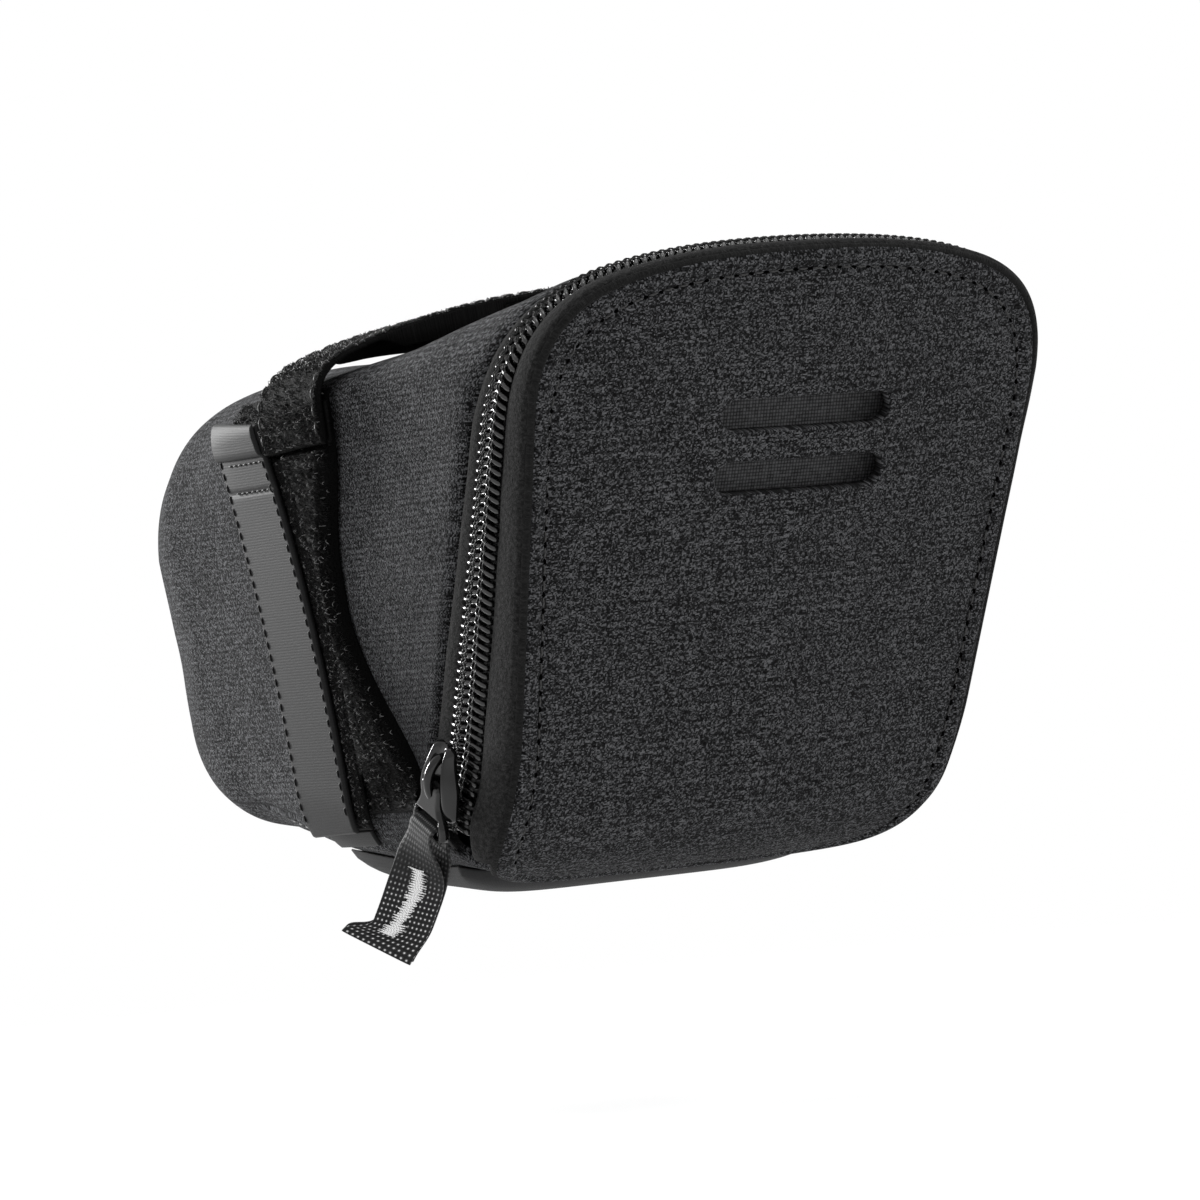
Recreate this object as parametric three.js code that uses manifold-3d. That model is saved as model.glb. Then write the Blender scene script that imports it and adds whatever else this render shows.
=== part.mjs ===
// Saddle bag: a sewn wedge bag that hangs under a bicycle saddle.
// Millimetres. +Z is up, +Y points to the seatpost (the nose), -Y to the zipped rear panel,
// +X is the right-hand side. The origin is on the top panel, under the middle of the rail strap.
import * as THREE from 'three';
import { mergeVertices } from 'three/addons/utils/BufferGeometryUtils.js';
import Module from 'manifold-3d';

const wasm = await Module();
wasm.setup();

// ---- driving dimensions ----
const GAP = 0.3;
const CLOTH = 1.8;
const LEAN = THREE.MathUtils.degToRad(22);
const WAIST_Z = -47;

// Outlines of the bag's cross-sections: half widths, and heights in the section's own plane.
const SEAM = { width: 47.8, top: 58.2, foot: 41, bottom: -59.5, corner: 14, footCorner: 22 };
const FOLD = { width: 52.4, top: 64, foot: 45.5, bottom: -52, corner: 17, footCorner: 17 };
const SEAM_Y = -61;
const FOLD_Y = -37.2;
const FOLD_LEAN = THREE.MathUtils.degToRad(30);
const FOLD_RETURN = { start: 34, depth: 15 };
const SKEW = { start: 24, shift: 4.5 };
const PANEL_LEFT = 1.11;
const SECTIONS = [
  { y: -7, width: 52.4, top: -2, foot: 46, bottom: -90.2, corner: 4.5, footCorner: 13 },
  { y: 26, width: 49.4, top: -2, foot: 43.5, bottom: -87.6, corner: 7, footCorner: 15 },
];
const NOSE = { y: 56, width: 44.6, top: -0.4, foot: 39, bottom: -83.8, corner: 17, footCorner: 18 };
const NOSE_LENGTH = 52;
const NOSE_CENTRE_Z = -46;
const NOSE_STEPS = [18, 36, 54, 70, 82];

// The panel's foot rolls forward under the bag with this radius, from this height in its plane.
const ROLL = { radius: 20, start: -36 };

// Along the zip band, places are fractions of the way from the panel seam to the front fold.
const CLOTH_REAR = [0.09, 0.375];
const COIL_REAR = [0.405, 0.55];
const COIL_FRONT = [0.63, 0.775];
const CLOTH_FRONT = [0.79, 0.955];
const TAPE_REAR = [0.2, 0.51];
const TAPE_FRONT = [0.65, 0.92];
const CHAIN = (COIL_REAR[1] + COIL_FRONT[0]) / 2;
const COIL = { outer: -1.0, inner: 1.1 };
const TAPE = { outer: 1.5, inner: 2.1 };
const BAND_CLOTH = 1.2;

// Round the band, places are turns: 0 at the middle of the foot, 0.25 on the left, 0.5 at the crown.
const BAND_ARCH = [0.118, 0.882];
const ZIP_ARCH = [0.132, 0.868];
const LEG = [0.17, 0.32];
const SLIDER_TURN = 0.158;

const SLOT = { length: 31.5, height: 5.6, upper: 29.4, lower: 18.6, shift: 1.8, pocket: 4.6 };
const WEBBING = { width: 40, height: 27, thick: 1 };

// Straps lie over the side patches: each layer's outer and inner height above the bag's cloth.
const PATCH = { outer: 1.5, inner: 0.65, rear: -10, top: -8, foot: -80 };
const PATCH_WAIST = { depth: 5.5, start: 0.1, end: 0.42 };
const PATCH_FLARE = { depth: 17, start: 0.5, end: 1 };
const HOOK = { outer: 2.5, inner: 1.8 };
const STRAP = { outer: 4.0, inner: 2.9 };
const RAIL_STRAP = { width: 23, leg: -17, rise: 4.6, underside: 4.15, arch: 0.6, reach: 47, hinge: -9 };
const SIDE_STRAP = { width: 20, topY: 23.5, footY: 12, bend: 2.2, top: -12, foot: -82, hem: 5 };
const POST_STRAP = { z: -64, width: 18, right: 36, left: -18, tab: -34, tabEnd: 2 };
const BASE_PAD = { rear: -17, front: 29, edge: 0.105, swell: 4.4, outer: 1.8 };

const COLOURS = {
  fabric: 0x34353a, nose: 0x3c3e43, fleece: 0x232428, coil: 0x131416, loop: 0x101113, hook: 0x1a1b1e,
  tape: 0x5c5f64, metal: 0x16171a, ribbon: 0x151618, thread: 0xe4e4e2, binding: 0x2b2c30, web: 0x1b1c20, pad: 0x1d1e21,
};

const bag = new THREE.Group();

function add(name, geometry, colour, roughness = 0.9, metalness = 0, parent = bag) {
  const mesh = new THREE.Mesh(geometry, new THREE.MeshStandardMaterial({ color: colour, roughness, metalness }));
  mesh.name = name;
  parent.add(mesh);
  return mesh;
}

// ---- solids ----
function bare(geometry) {
  const plain = geometry.clone();
  plain.deleteAttribute('normal');
  plain.deleteAttribute('uv');
  return mergeVertices(plain);
}

function toSolid(geometry) {
  const merged = bare(geometry);
  const vertProperties = new Float32Array(merged.attributes.position.array);
  const triVerts = new Uint32Array(merged.index.array);
  return new wasm.Manifold(new wasm.Mesh({ numProp: 3, vertProperties, triVerts }));
}

function fromSolid(solid) {
  const mesh = solid.getMesh();
  const geometry = new THREE.BufferGeometry();
  geometry.setAttribute('position', new THREE.BufferAttribute(Float32Array.from(mesh.vertProperties), 3));
  geometry.setIndex(new THREE.BufferAttribute(Uint32Array.from(mesh.triVerts), 1));
  return geometry;
}

// A closed sheet: surface(a, b, depth) is sampled on its outer and inner faces and walled at the edges.
function sheet(surface, { a = [0, 1], b = [0, 1], outer = 0, inner = CLOTH, columns, rows, closed = false }) {
  const positions = [];
  for (const depth of [outer, inner]) {
    for (let j = 0; j <= rows; j++) {
      for (let i = 0; i <= columns; i++) {
        const across = THREE.MathUtils.lerp(a[0], a[1], i / columns);
        const along = THREE.MathUtils.lerp(b[0], b[1], j / rows);
        positions.push(...surface(across, along, depth).toArray());
      }
    }
  }
  const side = (rows + 1) * (columns + 1);
  const at = (i, j, layer) => layer * side + j * (columns + 1) + i;
  const triangles = [];
  const quad = (p, q, r, s) => triangles.push([p, q, r], [p, r, s]);
  for (let j = 0; j < rows; j++) {
    for (let i = 0; i < columns; i++) {
      quad(at(i, j, 0), at(i + 1, j, 0), at(i + 1, j + 1, 0), at(i, j + 1, 0));
      quad(at(i, j, 1), at(i, j + 1, 1), at(i + 1, j + 1, 1), at(i + 1, j, 1));
    }
  }
  for (let i = 0; i < columns; i++) {
    quad(at(i, 0, 0), at(i, 0, 1), at(i + 1, 0, 1), at(i + 1, 0, 0));
    quad(at(i, rows, 0), at(i + 1, rows, 0), at(i + 1, rows, 1), at(i, rows, 1));
  }
  for (let j = 0; j < rows && !closed; j++) {
    quad(at(0, j, 0), at(0, j + 1, 0), at(0, j + 1, 1), at(0, j, 1));
    quad(at(columns, j, 0), at(columns, j, 1), at(columns, j + 1, 1), at(columns, j + 1, 0));
  }
  return outward(weld(positions, triangles));
}

// Merges equal corners and drops the triangles that a shared corner leaves without area.
function weld(positions, triangles) {
  const loose = new THREE.BufferGeometry();
  loose.setAttribute('position', new THREE.Float32BufferAttribute(positions, 3));
  loose.setIndex(triangles.flat());
  const merged = mergeVertices(loose, 1e-3);
  const kept = [];
  const index = merged.index.array;
  for (let k = 0; k < index.length; k += 3) {
    const [p, q, r] = index.slice(k, k + 3);
    if (p !== q && q !== r && r !== p) kept.push(p, q, r);
  }
  merged.setIndex(kept);
  return merged;
}

// Turns the faces over where they point inwards.
function outward(geometry) {
  const point = k => new THREE.Vector3().fromBufferAttribute(geometry.attributes.position, k);
  const index = geometry.index.array;
  let volume = 0;
  for (let k = 0; k < index.length; k += 3) {
    volume += point(index[k]).dot(point(index[k + 1]).cross(point(index[k + 2])));
  }
  if (volume < 0) {
    const turned = [];
    for (let k = 0; k < index.length; k += 3) turned.push(index[k], index[k + 2], index[k + 1]);
    geometry.setIndex(turned);
  }
  return geometry;
}

function tube(points, radius, steps, sides = 8) {
  const section = new THREE.Shape().absarc(0, 0, radius, 0, 2 * Math.PI);
  const path = new THREE.CatmullRomCurve3(points);
  return new THREE.ExtrudeGeometry(section, { steps, extrudePath: path, curveSegments: sides / 2 });
}

// ---- outlines ----
// The right half of a section, from the middle of its foot up the side to the middle of its crown.
function halfOutline({ width, top, foot, bottom, corner, footCorner }) {
  const shoulder = new THREE.Vector2(width, top - 0.72 * corner);
  const brow = new THREE.Vector2(0.54 * width, top);
  const turn = shoulder.clone().lerp(brow, 0.5);
  const path = new THREE.Path();
  path.moveTo(0, bottom);
  path.lineTo(foot - footCorner, bottom);
  path.quadraticCurveTo(foot, bottom, foot + 0.06 * footCorner, bottom + footCorner);
  path.lineTo(width, shoulder.y - corner);
  path.quadraticCurveTo(shoulder.x, shoulder.y, turn.x, turn.y);
  path.quadraticCurveTo(brow.x, brow.y, 0, top);
  return path;
}

// A point of the whole ring: 0 is the middle of the foot, 0.25 the left side, 0.5 the crown, 0.75 the right.
function ringPoint(half, turn) {
  const t = ((turn % 1) + 1) % 1;
  const left = t <= 0.5;
  const p = half.getPointAt(left ? 2 * t : 2 * (1 - t));
  return new THREE.Vector2(left ? -p.x : p.x, p.y);
}

// Stands a point of a leaning section in space; depth goes into the bag.
function leaning(centreY, x, height, depth, lean = LEAN) {
  const y = centreY - height * Math.sin(lean) + depth * Math.cos(lean);
  const z = WAIST_Z + height * Math.cos(lean) + depth * Math.sin(lean);
  return new THREE.Vector3(x, y, z);
}

// The same, with the foot rolled forward under the bag.
function rolled(x, height, depth) {
  if (height > ROLL.start) return leaning(SEAM_Y, x, height, depth);
  const turned = (ROLL.start - height) / ROLL.radius;
  const centre = leaning(SEAM_Y, x, ROLL.start, ROLL.radius);
  const angle = LEAN + turned;
  const reach = ROLL.radius - depth;
  return new THREE.Vector3(x, centre.y - reach * Math.cos(angle), centre.z - reach * Math.sin(angle));
}

const seamHalf = halfOutline(SEAM);
const foldHalf = halfOutline(FOLD);
const noseHalf = halfOutline(NOSE);
const sectionHalves = SECTIONS.map(halfOutline);

// The sewn foot sits a little to the left of the crown.
function skewed(x, height) {
  return x - SKEW.shift * THREE.MathUtils.smoothstep(-height, SKEW.start, -SEAM.bottom);
}

// The rear panel reaches further to the left, where the zip closes, than to the right.
function panelPlace(x, height) {
  return skewed(x < 0 ? x * PANEL_LEFT : x, height);
}

function seamRing(t) {
  const p = ringPoint(seamHalf, t);
  return rolled(panelPlace(p.x, p.y), p.y, 0);
}

// The fold leans more than the panel, and its foot comes back to meet the panel's.
function foldRing(t) {
  const p = ringPoint(foldHalf, t);
  const point = leaning(FOLD_Y, skewed(p.x, p.y), p.y, 0, FOLD_LEAN);
  point.y -= FOLD_RETURN.depth * THREE.MathUtils.smoothstep(-p.y, FOLD_RETURN.start, -FOLD.bottom);
  return point;
}

function noseRing(t, degrees) {
  const angle = THREE.MathUtils.degToRad(degrees);
  const p = ringPoint(noseHalf, t);
  const shrink = Math.cos(angle);
  const z = NOSE_CENTRE_Z + (p.y - NOSE_CENTRE_Z) * shrink;
  return new THREE.Vector3(p.x * shrink, NOSE.y + NOSE_LENGTH * Math.sin(angle), z);
}

// The body's length lines run from the fold over the sections to the tip of the nose.
const lengthLines = new Map();
function lengthLine(t) {
  const key = (((t % 1) + 1) % 1).toFixed(6);
  if (!lengthLines.has(key)) {
    const points = [foldRing(t)];
    sectionHalves.forEach((half, k) => {
      const p = ringPoint(half, t);
      points.push(new THREE.Vector3(p.x, SECTIONS[k].y, p.y));
    });
    for (const degrees of [0, ...NOSE_STEPS, 90]) points.push(noseRing(t, degrees));
    lengthLines.set(key, new THREE.CatmullRomCurve3(points, false, 'catmullrom', 0.4));
  }
  return lengthLines.get(key);
}
const LAST = SECTIONS.length + 2 + NOSE_STEPS.length;
const NOSE_SEAM = (SECTIONS.length + 1) / LAST;

function pushIn(point, alongS, alongT, depth) {
  const normal = alongT.cross(alongS).normalize();
  return point.clone().addScaledVector(normal, -depth);
}

const NUDGE = 1e-3;
function body(t, s, depth) {
  const point = lengthLine(t).getPoint(s);
  if (s > 0.999) return point.add(new THREE.Vector3(0, -depth, 0));
  const alongS = lengthLine(t).getPoint(s + NUDGE).sub(lengthLine(t).getPoint(s - NUDGE < 0 ? 0 : s - NUDGE));
  const alongT = lengthLine(t + NUDGE).getPoint(s).sub(lengthLine(t - NUDGE).getPoint(s));
  return pushIn(point, alongS, alongT, depth);
}

// The same surface, found by its distance y along the bag.
function bodyAt(t, y, depth) {
  let low = 0;
  let high = 1;
  for (let k = 0; k < 24; k++) {
    const middle = (low + high) / 2;
    if (lengthLine(t).getPoint(middle).y < y) low = middle;
    else high = middle;
  }
  return body(t, low, depth);
}

// The band between the panel seam and the fold, which holds the zip.
function band(t, s, depth) {
  const between = (turn, share) => seamRing(turn).lerp(foldRing(turn), share);
  const alongS = foldRing(t).sub(seamRing(t));
  const alongT = between(t + NUDGE, s).sub(between(t - NUDGE, s));
  return pushIn(between(t, s), alongS, alongT, depth);
}

// The place round the ring, on the left side, where the body at distance y has height z.
function turnAt(y, z) {
  let low = 0.08;
  let high = 0.46;
  for (let k = 0; k < 18; k++) {
    const middle = (low + high) / 2;
    if (bodyAt(middle, y, 0).z < z) low = middle;
    else high = middle;
  }
  return low;
}

// The nose's front, found by its place x, z as seen from ahead.
function noseAt(x, z, depth) {
  const front = (px, pz) => {
    const direction = Math.atan2(Math.abs(px), pz - NOSE_CENTRE_Z);
    let low = 0;
    let high = 1;
    for (let k = 0; k < 24; k++) {
      const middle = (low + high) / 2;
      const p = noseHalf.getPointAt(middle);
      if (Math.atan2(p.x, p.y - NOSE_CENTRE_Z) > direction) low = middle;
      else high = middle;
    }
    const edge = noseHalf.getPointAt(low);
    const share = Math.hypot(px, pz - NOSE_CENTRE_Z) / Math.hypot(edge.x, edge.y - NOSE_CENTRE_Z);
    return new THREE.Vector3(px, NOSE.y + NOSE_LENGTH * Math.sqrt(Math.max(0, 1 - share ** 2)), pz);
  };
  const step = 0.4;
  const alongX = front(x + step, z).sub(front(x - step, z));
  const alongZ = front(x, z + step).sub(front(x, z - step));
  return pushIn(front(x, z), alongX, alongZ, depth);
}

// ---- lid: everything the zip lets swing down with the rear panel ----
const PANEL_INSET = 2;
const PANEL_SWELL = 0.8;
function panelSurface(inset, start) {
  const half = halfOutline({ ...SEAM, width: SEAM.width - inset, top: SEAM.top - inset, foot: SEAM.foot - inset });
  return (a, b, depth) => {
    const p = half.getPointAt(THREE.MathUtils.lerp(start, 1, b));
    const x = p.x * (2 * a - 1);
    const swell = PANEL_SWELL * (1 - (x / SEAM.width) ** 2);
    return rolled(panelPlace(x, p.y), p.y, depth - swell);
  };
}

function capsule(length, height, depth) {
  const reach = (length - height) / 2;
  const shape = new THREE.Shape();
  shape.absarc(reach, 0, height / 2, -Math.PI / 2, Math.PI / 2);
  shape.absarc(-reach, 0, height / 2, Math.PI / 2, 1.5 * Math.PI);
  return new THREE.ExtrudeGeometry(shape, { depth, bevelEnabled: false, curveSegments: 6 });
}

// Lays a solid, drawn in x and height with its depth outwards, on the leaning panel.
function onPanel(geometry, height, depth) {
  const across = new THREE.Vector3(1, 0, 0);
  const up = new THREE.Vector3(0, -Math.sin(LEAN), Math.cos(LEAN));
  const out = leaning(0, 0, 0, -1).sub(leaning(0, 0, 0, 0));
  const matrix = new THREE.Matrix4().makeBasis(across, up, out);
  return geometry.clone().applyMatrix4(matrix.setPosition(leaning(SEAM_Y, SLOT.shift, height, depth)));
}

function addLid() {
  const footRow = 0.085;
  let panel = toSolid(sheet(panelSurface(PANEL_INSET, footRow), { columns: 8, rows: 28 }));
  for (const height of [SLOT.upper, SLOT.lower]) {
    panel = panel.subtract(toSolid(onPanel(capsule(SLOT.length, SLOT.height, 12), height, 6)));
  }
  add('lid_panel', fromSolid(panel), COLOURS.fabric);

  const webbingDepth = CLOTH + SLOT.pocket + WEBBING.thick / 2;
  const webbing = new THREE.BoxGeometry(WEBBING.width, WEBBING.height, WEBBING.thick);
  add('lid_clip_webbing', bare(onPanel(webbing, (SLOT.upper + SLOT.lower) / 2, webbingDepth)), COLOURS.web);
  const lining = { b: [0.12, 0.97], outer: webbingDepth + 2, inner: webbingDepth + 3.2, columns: 6, rows: 16 };
  add('lid_lining', sheet(panelSurface(8, 0.2), lining), COLOURS.fleece);

  const cord = [];
  for (let k = 0; k <= 40; k++) cord.push(band(THREE.MathUtils.lerp(0.1, 0.9, k / 40), 0, 0.4));
  add('lid_piping', tube(cord, 0.9, 60, 6), COLOURS.binding);
  addBandCloth('lid_gusset', CLOTH_REAR);
  addZipHalf('rear', COIL_REAR, TAPE_REAR);
}

function addBandCloth(name, across) {
  const shape = { a: BAND_ARCH, b: across, inner: BAND_CLOTH, columns: 44, rows: 1 };
  add(name, sheet(band, shape), COLOURS.fleece);
}

// One half of the zip: its coil, and the tape under it.
function addZipHalf(side, coil, tape) {
  const arch = { a: ZIP_ARCH, columns: 44, rows: 1 };
  add(`zip_coil_${side}`, sheet(band, { ...arch, ...COIL, b: coil }), COLOURS.coil, 0.35);
  add(`zip_tape_${side}`, sheet(band, { ...arch, ...TAPE, b: tape }), COLOURS.fleece);
}

// ---- shell ----
const FOOT_EDGE = 0.125;
const TOP_EDGE = 0.405;
const SEAM_TURN = 0.001;

function addShell() {
  const span = { b: [0.012, NOSE_SEAM], rows: 8 };
  const left = [FOOT_EDGE + SEAM_TURN, TOP_EDGE - SEAM_TURN];
  const right = [1 - left[1], 1 - left[0]];
  add('shell_side_left', sheet(body, { ...span, a: left, columns: 12 }), COLOURS.fabric);
  add('shell_side_right', sheet(body, { ...span, a: right, columns: 12 }), COLOURS.fabric);
  add('shell_top', sheet(body, { ...span, a: [TOP_EDGE, 1 - TOP_EDGE], columns: 10 }), COLOURS.fabric);
  add('shell_base', sheet(body, { ...span, a: [-FOOT_EDGE, FOOT_EDGE], columns: 12 }), COLOURS.fabric);
  const nose = { a: [0, 1], b: [NOSE_SEAM + 0.003, 1], columns: 40, rows: 9, closed: true };
  add('shell_nose', sheet(body, nose), COLOURS.nose);
  addBandCloth('shell_zip_band', CLOTH_FRONT);
  addZipHalf('front', COIL_FRONT, TAPE_FRONT);

  const hem = [];
  for (let k = 0; k <= 12; k++) hem.push(foldRing(THREE.MathUtils.lerp(-0.075, 0.075, k / 12)));
  const drop = new THREE.Vector3(0, -2, 0.9);
  add('base_hinge_binding', tube(hem.map(p => p.add(drop)), 1.1, 14), COLOURS.binding);
}

// How far forward the middle of a grey side strap is at height z.
function sideStrapMiddle(z) {
  const down = THREE.MathUtils.clamp((z - SIDE_STRAP.top) / (SIDE_STRAP.foot - SIDE_STRAP.top), 0, 1);
  return THREE.MathUtils.lerp(SIDE_STRAP.footY, SIDE_STRAP.topY, (1 - down) ** SIDE_STRAP.bend);
}

// Loop-pile patches on the sides, which the straps' hooks grip: narrow at the waist and flared at the foot.
function patchSurface(a, b, depth) {
  const z = THREE.MathUtils.lerp(PATCH.top, PATCH.foot, b);
  const waist = PATCH_WAIST.depth * THREE.MathUtils.smoothstep(b, PATCH_WAIST.start, PATCH_WAIST.end);
  const flare = PATCH_FLARE.depth * THREE.MathUtils.smoothstep(b, PATCH_FLARE.start, PATCH_FLARE.end);
  const rear = PATCH.rear + waist - flare;
  const front = sideStrapMiddle(z) + SIDE_STRAP.width / 2 - 1;
  const y = THREE.MathUtils.lerp(rear, front, a);
  return bodyAt(turnAt(y, z), y, depth);
}

// Makes the left piece and its mirror image on the right.
function addPair(name, surface, shape, colour, roughness) {
  add(`${name}_left`, sheet(surface, shape), colour, roughness);
  const mirrored = (a, b, depth) => surface(a, b, depth).multiply(new THREE.Vector3(-1, 1, 1));
  add(`${name}_right`, sheet(mirrored, shape), colour, roughness);
}

// The layer's outer and inner faces, as depths below the bag's cloth.
function layer({ outer, inner }) {
  return { outer: -outer, inner: -inner };
}

function addPatches() {
  addPair('loop_patch', patchSurface, { ...layer(PATCH), columns: 7, rows: 12 }, COLOURS.loop);
}

function addBasePad() {
  const surface = (a, b, depth) => {
    const swell = BASE_PAD.swell * (1 - (2 * a - 1) ** 6) * (1 - (2 * b - 1) ** 6);
    const lift = depth < -GAP ? depth - swell : depth;
    const turn = THREE.MathUtils.lerp(-BASE_PAD.edge, BASE_PAD.edge, a);
    return bodyAt(turn, THREE.MathUtils.lerp(BASE_PAD.rear, BASE_PAD.front, b), lift);
  };
  add('base_pad', sheet(surface, { outer: -BASE_PAD.outer, inner: -GAP, columns: 10, rows: 11 }), COLOURS.pad);
}

// ---- straps ----
// The grey strap on each side: a face tape, a hook strip under it and the turned hem at its free end.
function sideStrapSurface(top, foot) {
  return (a, b, depth) => {
    const z = THREE.MathUtils.lerp(top, foot, b);
    const y = sideStrapMiddle(z) + SIDE_STRAP.width * (a - 0.5);
    return bodyAt(turnAt(y, z), y, depth);
  };
}

function addSideStraps() {
  const { top, foot, hem } = SIDE_STRAP;
  const long = { columns: 4, rows: 16 };
  addPair('side_strap_tape', sideStrapSurface(top, foot), { ...layer(STRAP), ...long }, COLOURS.tape, 0.55);
  addPair('side_strap_hook', sideStrapSurface(top - hem, foot), { ...layer(HOOK), ...long }, COLOURS.hook);
  const fold = { outer: STRAP.outer + 1.3, inner: STRAP.outer + GAP };
  addPair('side_strap_hem', sideStrapSurface(top, top - hem), { ...layer(fold), columns: 4, rows: 2 }, COLOURS.tape);
  const tail = { outer: PATCH.outer, inner: PATCH.inner };
  const anchor = sideStrapSurface(foot - 0.6, foot - 3);
  addPair('side_strap_anchor', anchor, { ...layer(tail), columns: 4, rows: 3 }, COLOURS.tape);
}

// The rail strap follows the bag's shoulders and bridges its top, leaving a tunnel for the saddle's rails.
// Its underside rises less than its face, because the strap is doubled over the tunnel.
function railStrapSurface(start, end) {
  return (a, b, depth) => {
    const y = RAIL_STRAP.width * (a - 0.5);
    const point = bodyAt(THREE.MathUtils.lerp(start, end, b), y, depth);
    const across = Math.min(1, Math.abs(point.x) / RAIL_STRAP.reach);
    const rise = depth < -STRAP.inner - GAP ? RAIL_STRAP.rise : RAIL_STRAP.underside;
    point.z += rise * (0.5 + 0.5 * Math.cos(Math.PI * across)) ** RAIL_STRAP.arch;
    return point;
  };
}

function addRailStrap() {
  const legTurn = turnAt(0, RAIL_STRAP.leg);
  const hingeTurn = 1 - turnAt(0, RAIL_STRAP.hinge);
  const long = { columns: 2, rows: 30 };
  add('rail_strap', sheet(railStrapSurface(legTurn, hingeTurn), { ...layer(STRAP), ...long }), COLOURS.loop);
  const grip = railStrapSurface(legTurn, turnAt(0, PATCH.top - 2));
  add('rail_strap_hook', sheet(grip, { ...layer(HOOK), columns: 3, rows: 6 }), COLOURS.hook);
  const root = railStrapSurface(hingeTurn + 0.004, 1 - legTurn);
  add('rail_strap_root', sheet(root, { outer: -STRAP.outer, inner: -HOOK.inner, columns: 3, rows: 6 }), COLOURS.loop);
}

// The seatpost strap lies round the nose, its free end over a loop-pile tab.
function addPostStrap() {
  const surface = (from, to) => (a, b, depth) => {
    const z = POST_STRAP.z + POST_STRAP.width * (a - 0.5);
    return noseAt(THREE.MathUtils.lerp(from, to, b), z, depth);
  };
  const { left, right, tab, tabEnd } = POST_STRAP;
  const long = { columns: 3, rows: 20 };
  add('post_strap', sheet(surface(left, right), { ...layer(STRAP), ...long }), COLOURS.loop);
  add('post_strap_hook', sheet(surface(left, tabEnd), { ...layer(HOOK), columns: 3, rows: 8 }), COLOURS.hook);
  add('post_strap_tab', sheet(surface(tab, tabEnd), { ...layer(PATCH), columns: 3, rows: 12 }), COLOURS.loop);
}

// ---- slider, puller and ribbon, drawn in the zip's own axes: x rearward, y up the zip, z outwards ----
const chainMiddle = band(SLIDER_TURN, CHAIN, 0);
const upZip = band(LEG[1], CHAIN, 0).sub(band(LEG[0], CHAIN, 0)).normalize();
const acrossZip = band(SLIDER_TURN, 1, 0).sub(band(SLIDER_TURN, 0, 0));
const outOfZip = new THREE.Vector3().crossVectors(upZip, acrossZip).normalize();
const rearOfZip = new THREE.Vector3().crossVectors(upZip, outOfZip);
const zipAxes = new THREE.Matrix4().makeBasis(rearOfZip, upZip, outOfZip).setPosition(chainMiddle);

const PLATE = { width: 10.4, foot: -6, head: 7, thick: 1.2, outer: 2.9, inner: -3.4 };
const BRIDGE = { width: 3, foot: -4.6, head: 6, gap: 2.5, thick: 1.3 };
const PIVOT = { y: -0.6, z: 5.4 };
const PULLER = { wire: 0.75, reach: 8, width: 9.6 };
const RIBBON = { eye: 7, width: 10, length: 23.5, thick: 0.8, gap: 2.6, lean: 10, twist: THREE.MathUtils.degToRad(-38) };

function brick(x, y, z) {
  const box = new THREE.BoxGeometry(x[1] - x[0], y[1] - y[0], z[1] - z[0]);
  return box.translate((x[0] + x[1]) / 2, (y[0] + y[1]) / 2, (z[0] + z[1]) / 2);
}

function join(geometries) {
  return fromSolid(geometries.map(toSolid).reduce((whole, piece) => whole.add(piece)));
}

// A slider plate: wide over the teeth's entry, narrower where the closed chain leaves it.
function plate(bottom) {
  const half = PLATE.width / 2;
  const shape = new THREE.Shape();
  shape.moveTo(-half, PLATE.foot + 1.5);
  shape.quadraticCurveTo(-half, PLATE.foot, 1.5 - half, PLATE.foot);
  shape.lineTo(half - 1.5, PLATE.foot);
  shape.quadraticCurveTo(half, PLATE.foot, half, PLATE.foot + 1.5);
  shape.lineTo(half - 0.4, 2);
  shape.quadraticCurveTo(half - 1.5, PLATE.head, half - 3, PLATE.head);
  shape.lineTo(3 - half, PLATE.head);
  shape.quadraticCurveTo(1.5 - half, PLATE.head, 0.4 - half, 2);
  const solid = new THREE.ExtrudeGeometry(shape, { depth: PLATE.thick, bevelEnabled: false, curveSegments: 4 });
  return solid.translate(0, 0, bottom);
}

function addSlider() {
  const top = PLATE.outer + PLATE.thick;
  const halfBridge = [-BRIDGE.width / 2, BRIDGE.width / 2];
  const under = top + BRIDGE.gap;
  const over = under + BRIDGE.thick;
  const slider = join([
    plate(PLATE.outer),
    plate(PLATE.inner - PLATE.thick),
    brick([-0.4, 0.4], [-5.6, -2], [PLATE.inner - 0.5, PLATE.outer + 0.5]),
    brick(halfBridge, [BRIDGE.foot, BRIDGE.foot + 1.5], [top - 0.3, over]),
    brick(halfBridge, [BRIDGE.head - 1.5, BRIDGE.head], [top - 0.3, over]),
    brick(halfBridge, [BRIDGE.foot, BRIDGE.head], [under, over]),
  ]);
  add('slider', slider.applyMatrix4(zipAxes), COLOURS.metal, 0.25, 0.8);

  const halfRing = PULLER.width / 2;
  const corners = [[-halfRing, 0], [halfRing, 0], [halfRing, -PULLER.reach], [-halfRing, -PULLER.reach]];
  const bars = corners.map(([x, y], k) => {
    const [nextX, nextY] = corners[(k + 1) % corners.length];
    const [lowX, highX] = [Math.min(x, nextX) - PULLER.wire, Math.max(x, nextX) + PULLER.wire];
    const [lowY, highY] = [Math.min(y, nextY) - PULLER.wire, Math.max(y, nextY) + PULLER.wire];
    return brick([lowX, highX], [lowY, highY], [-PULLER.wire, PULLER.wire]);
  });
  const puller = join(bars).translate(0, PIVOT.y, PIVOT.z);
  add('puller_ring', puller.applyMatrix4(zipAxes), COLOURS.metal, 0.25, 0.8);
}

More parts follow.
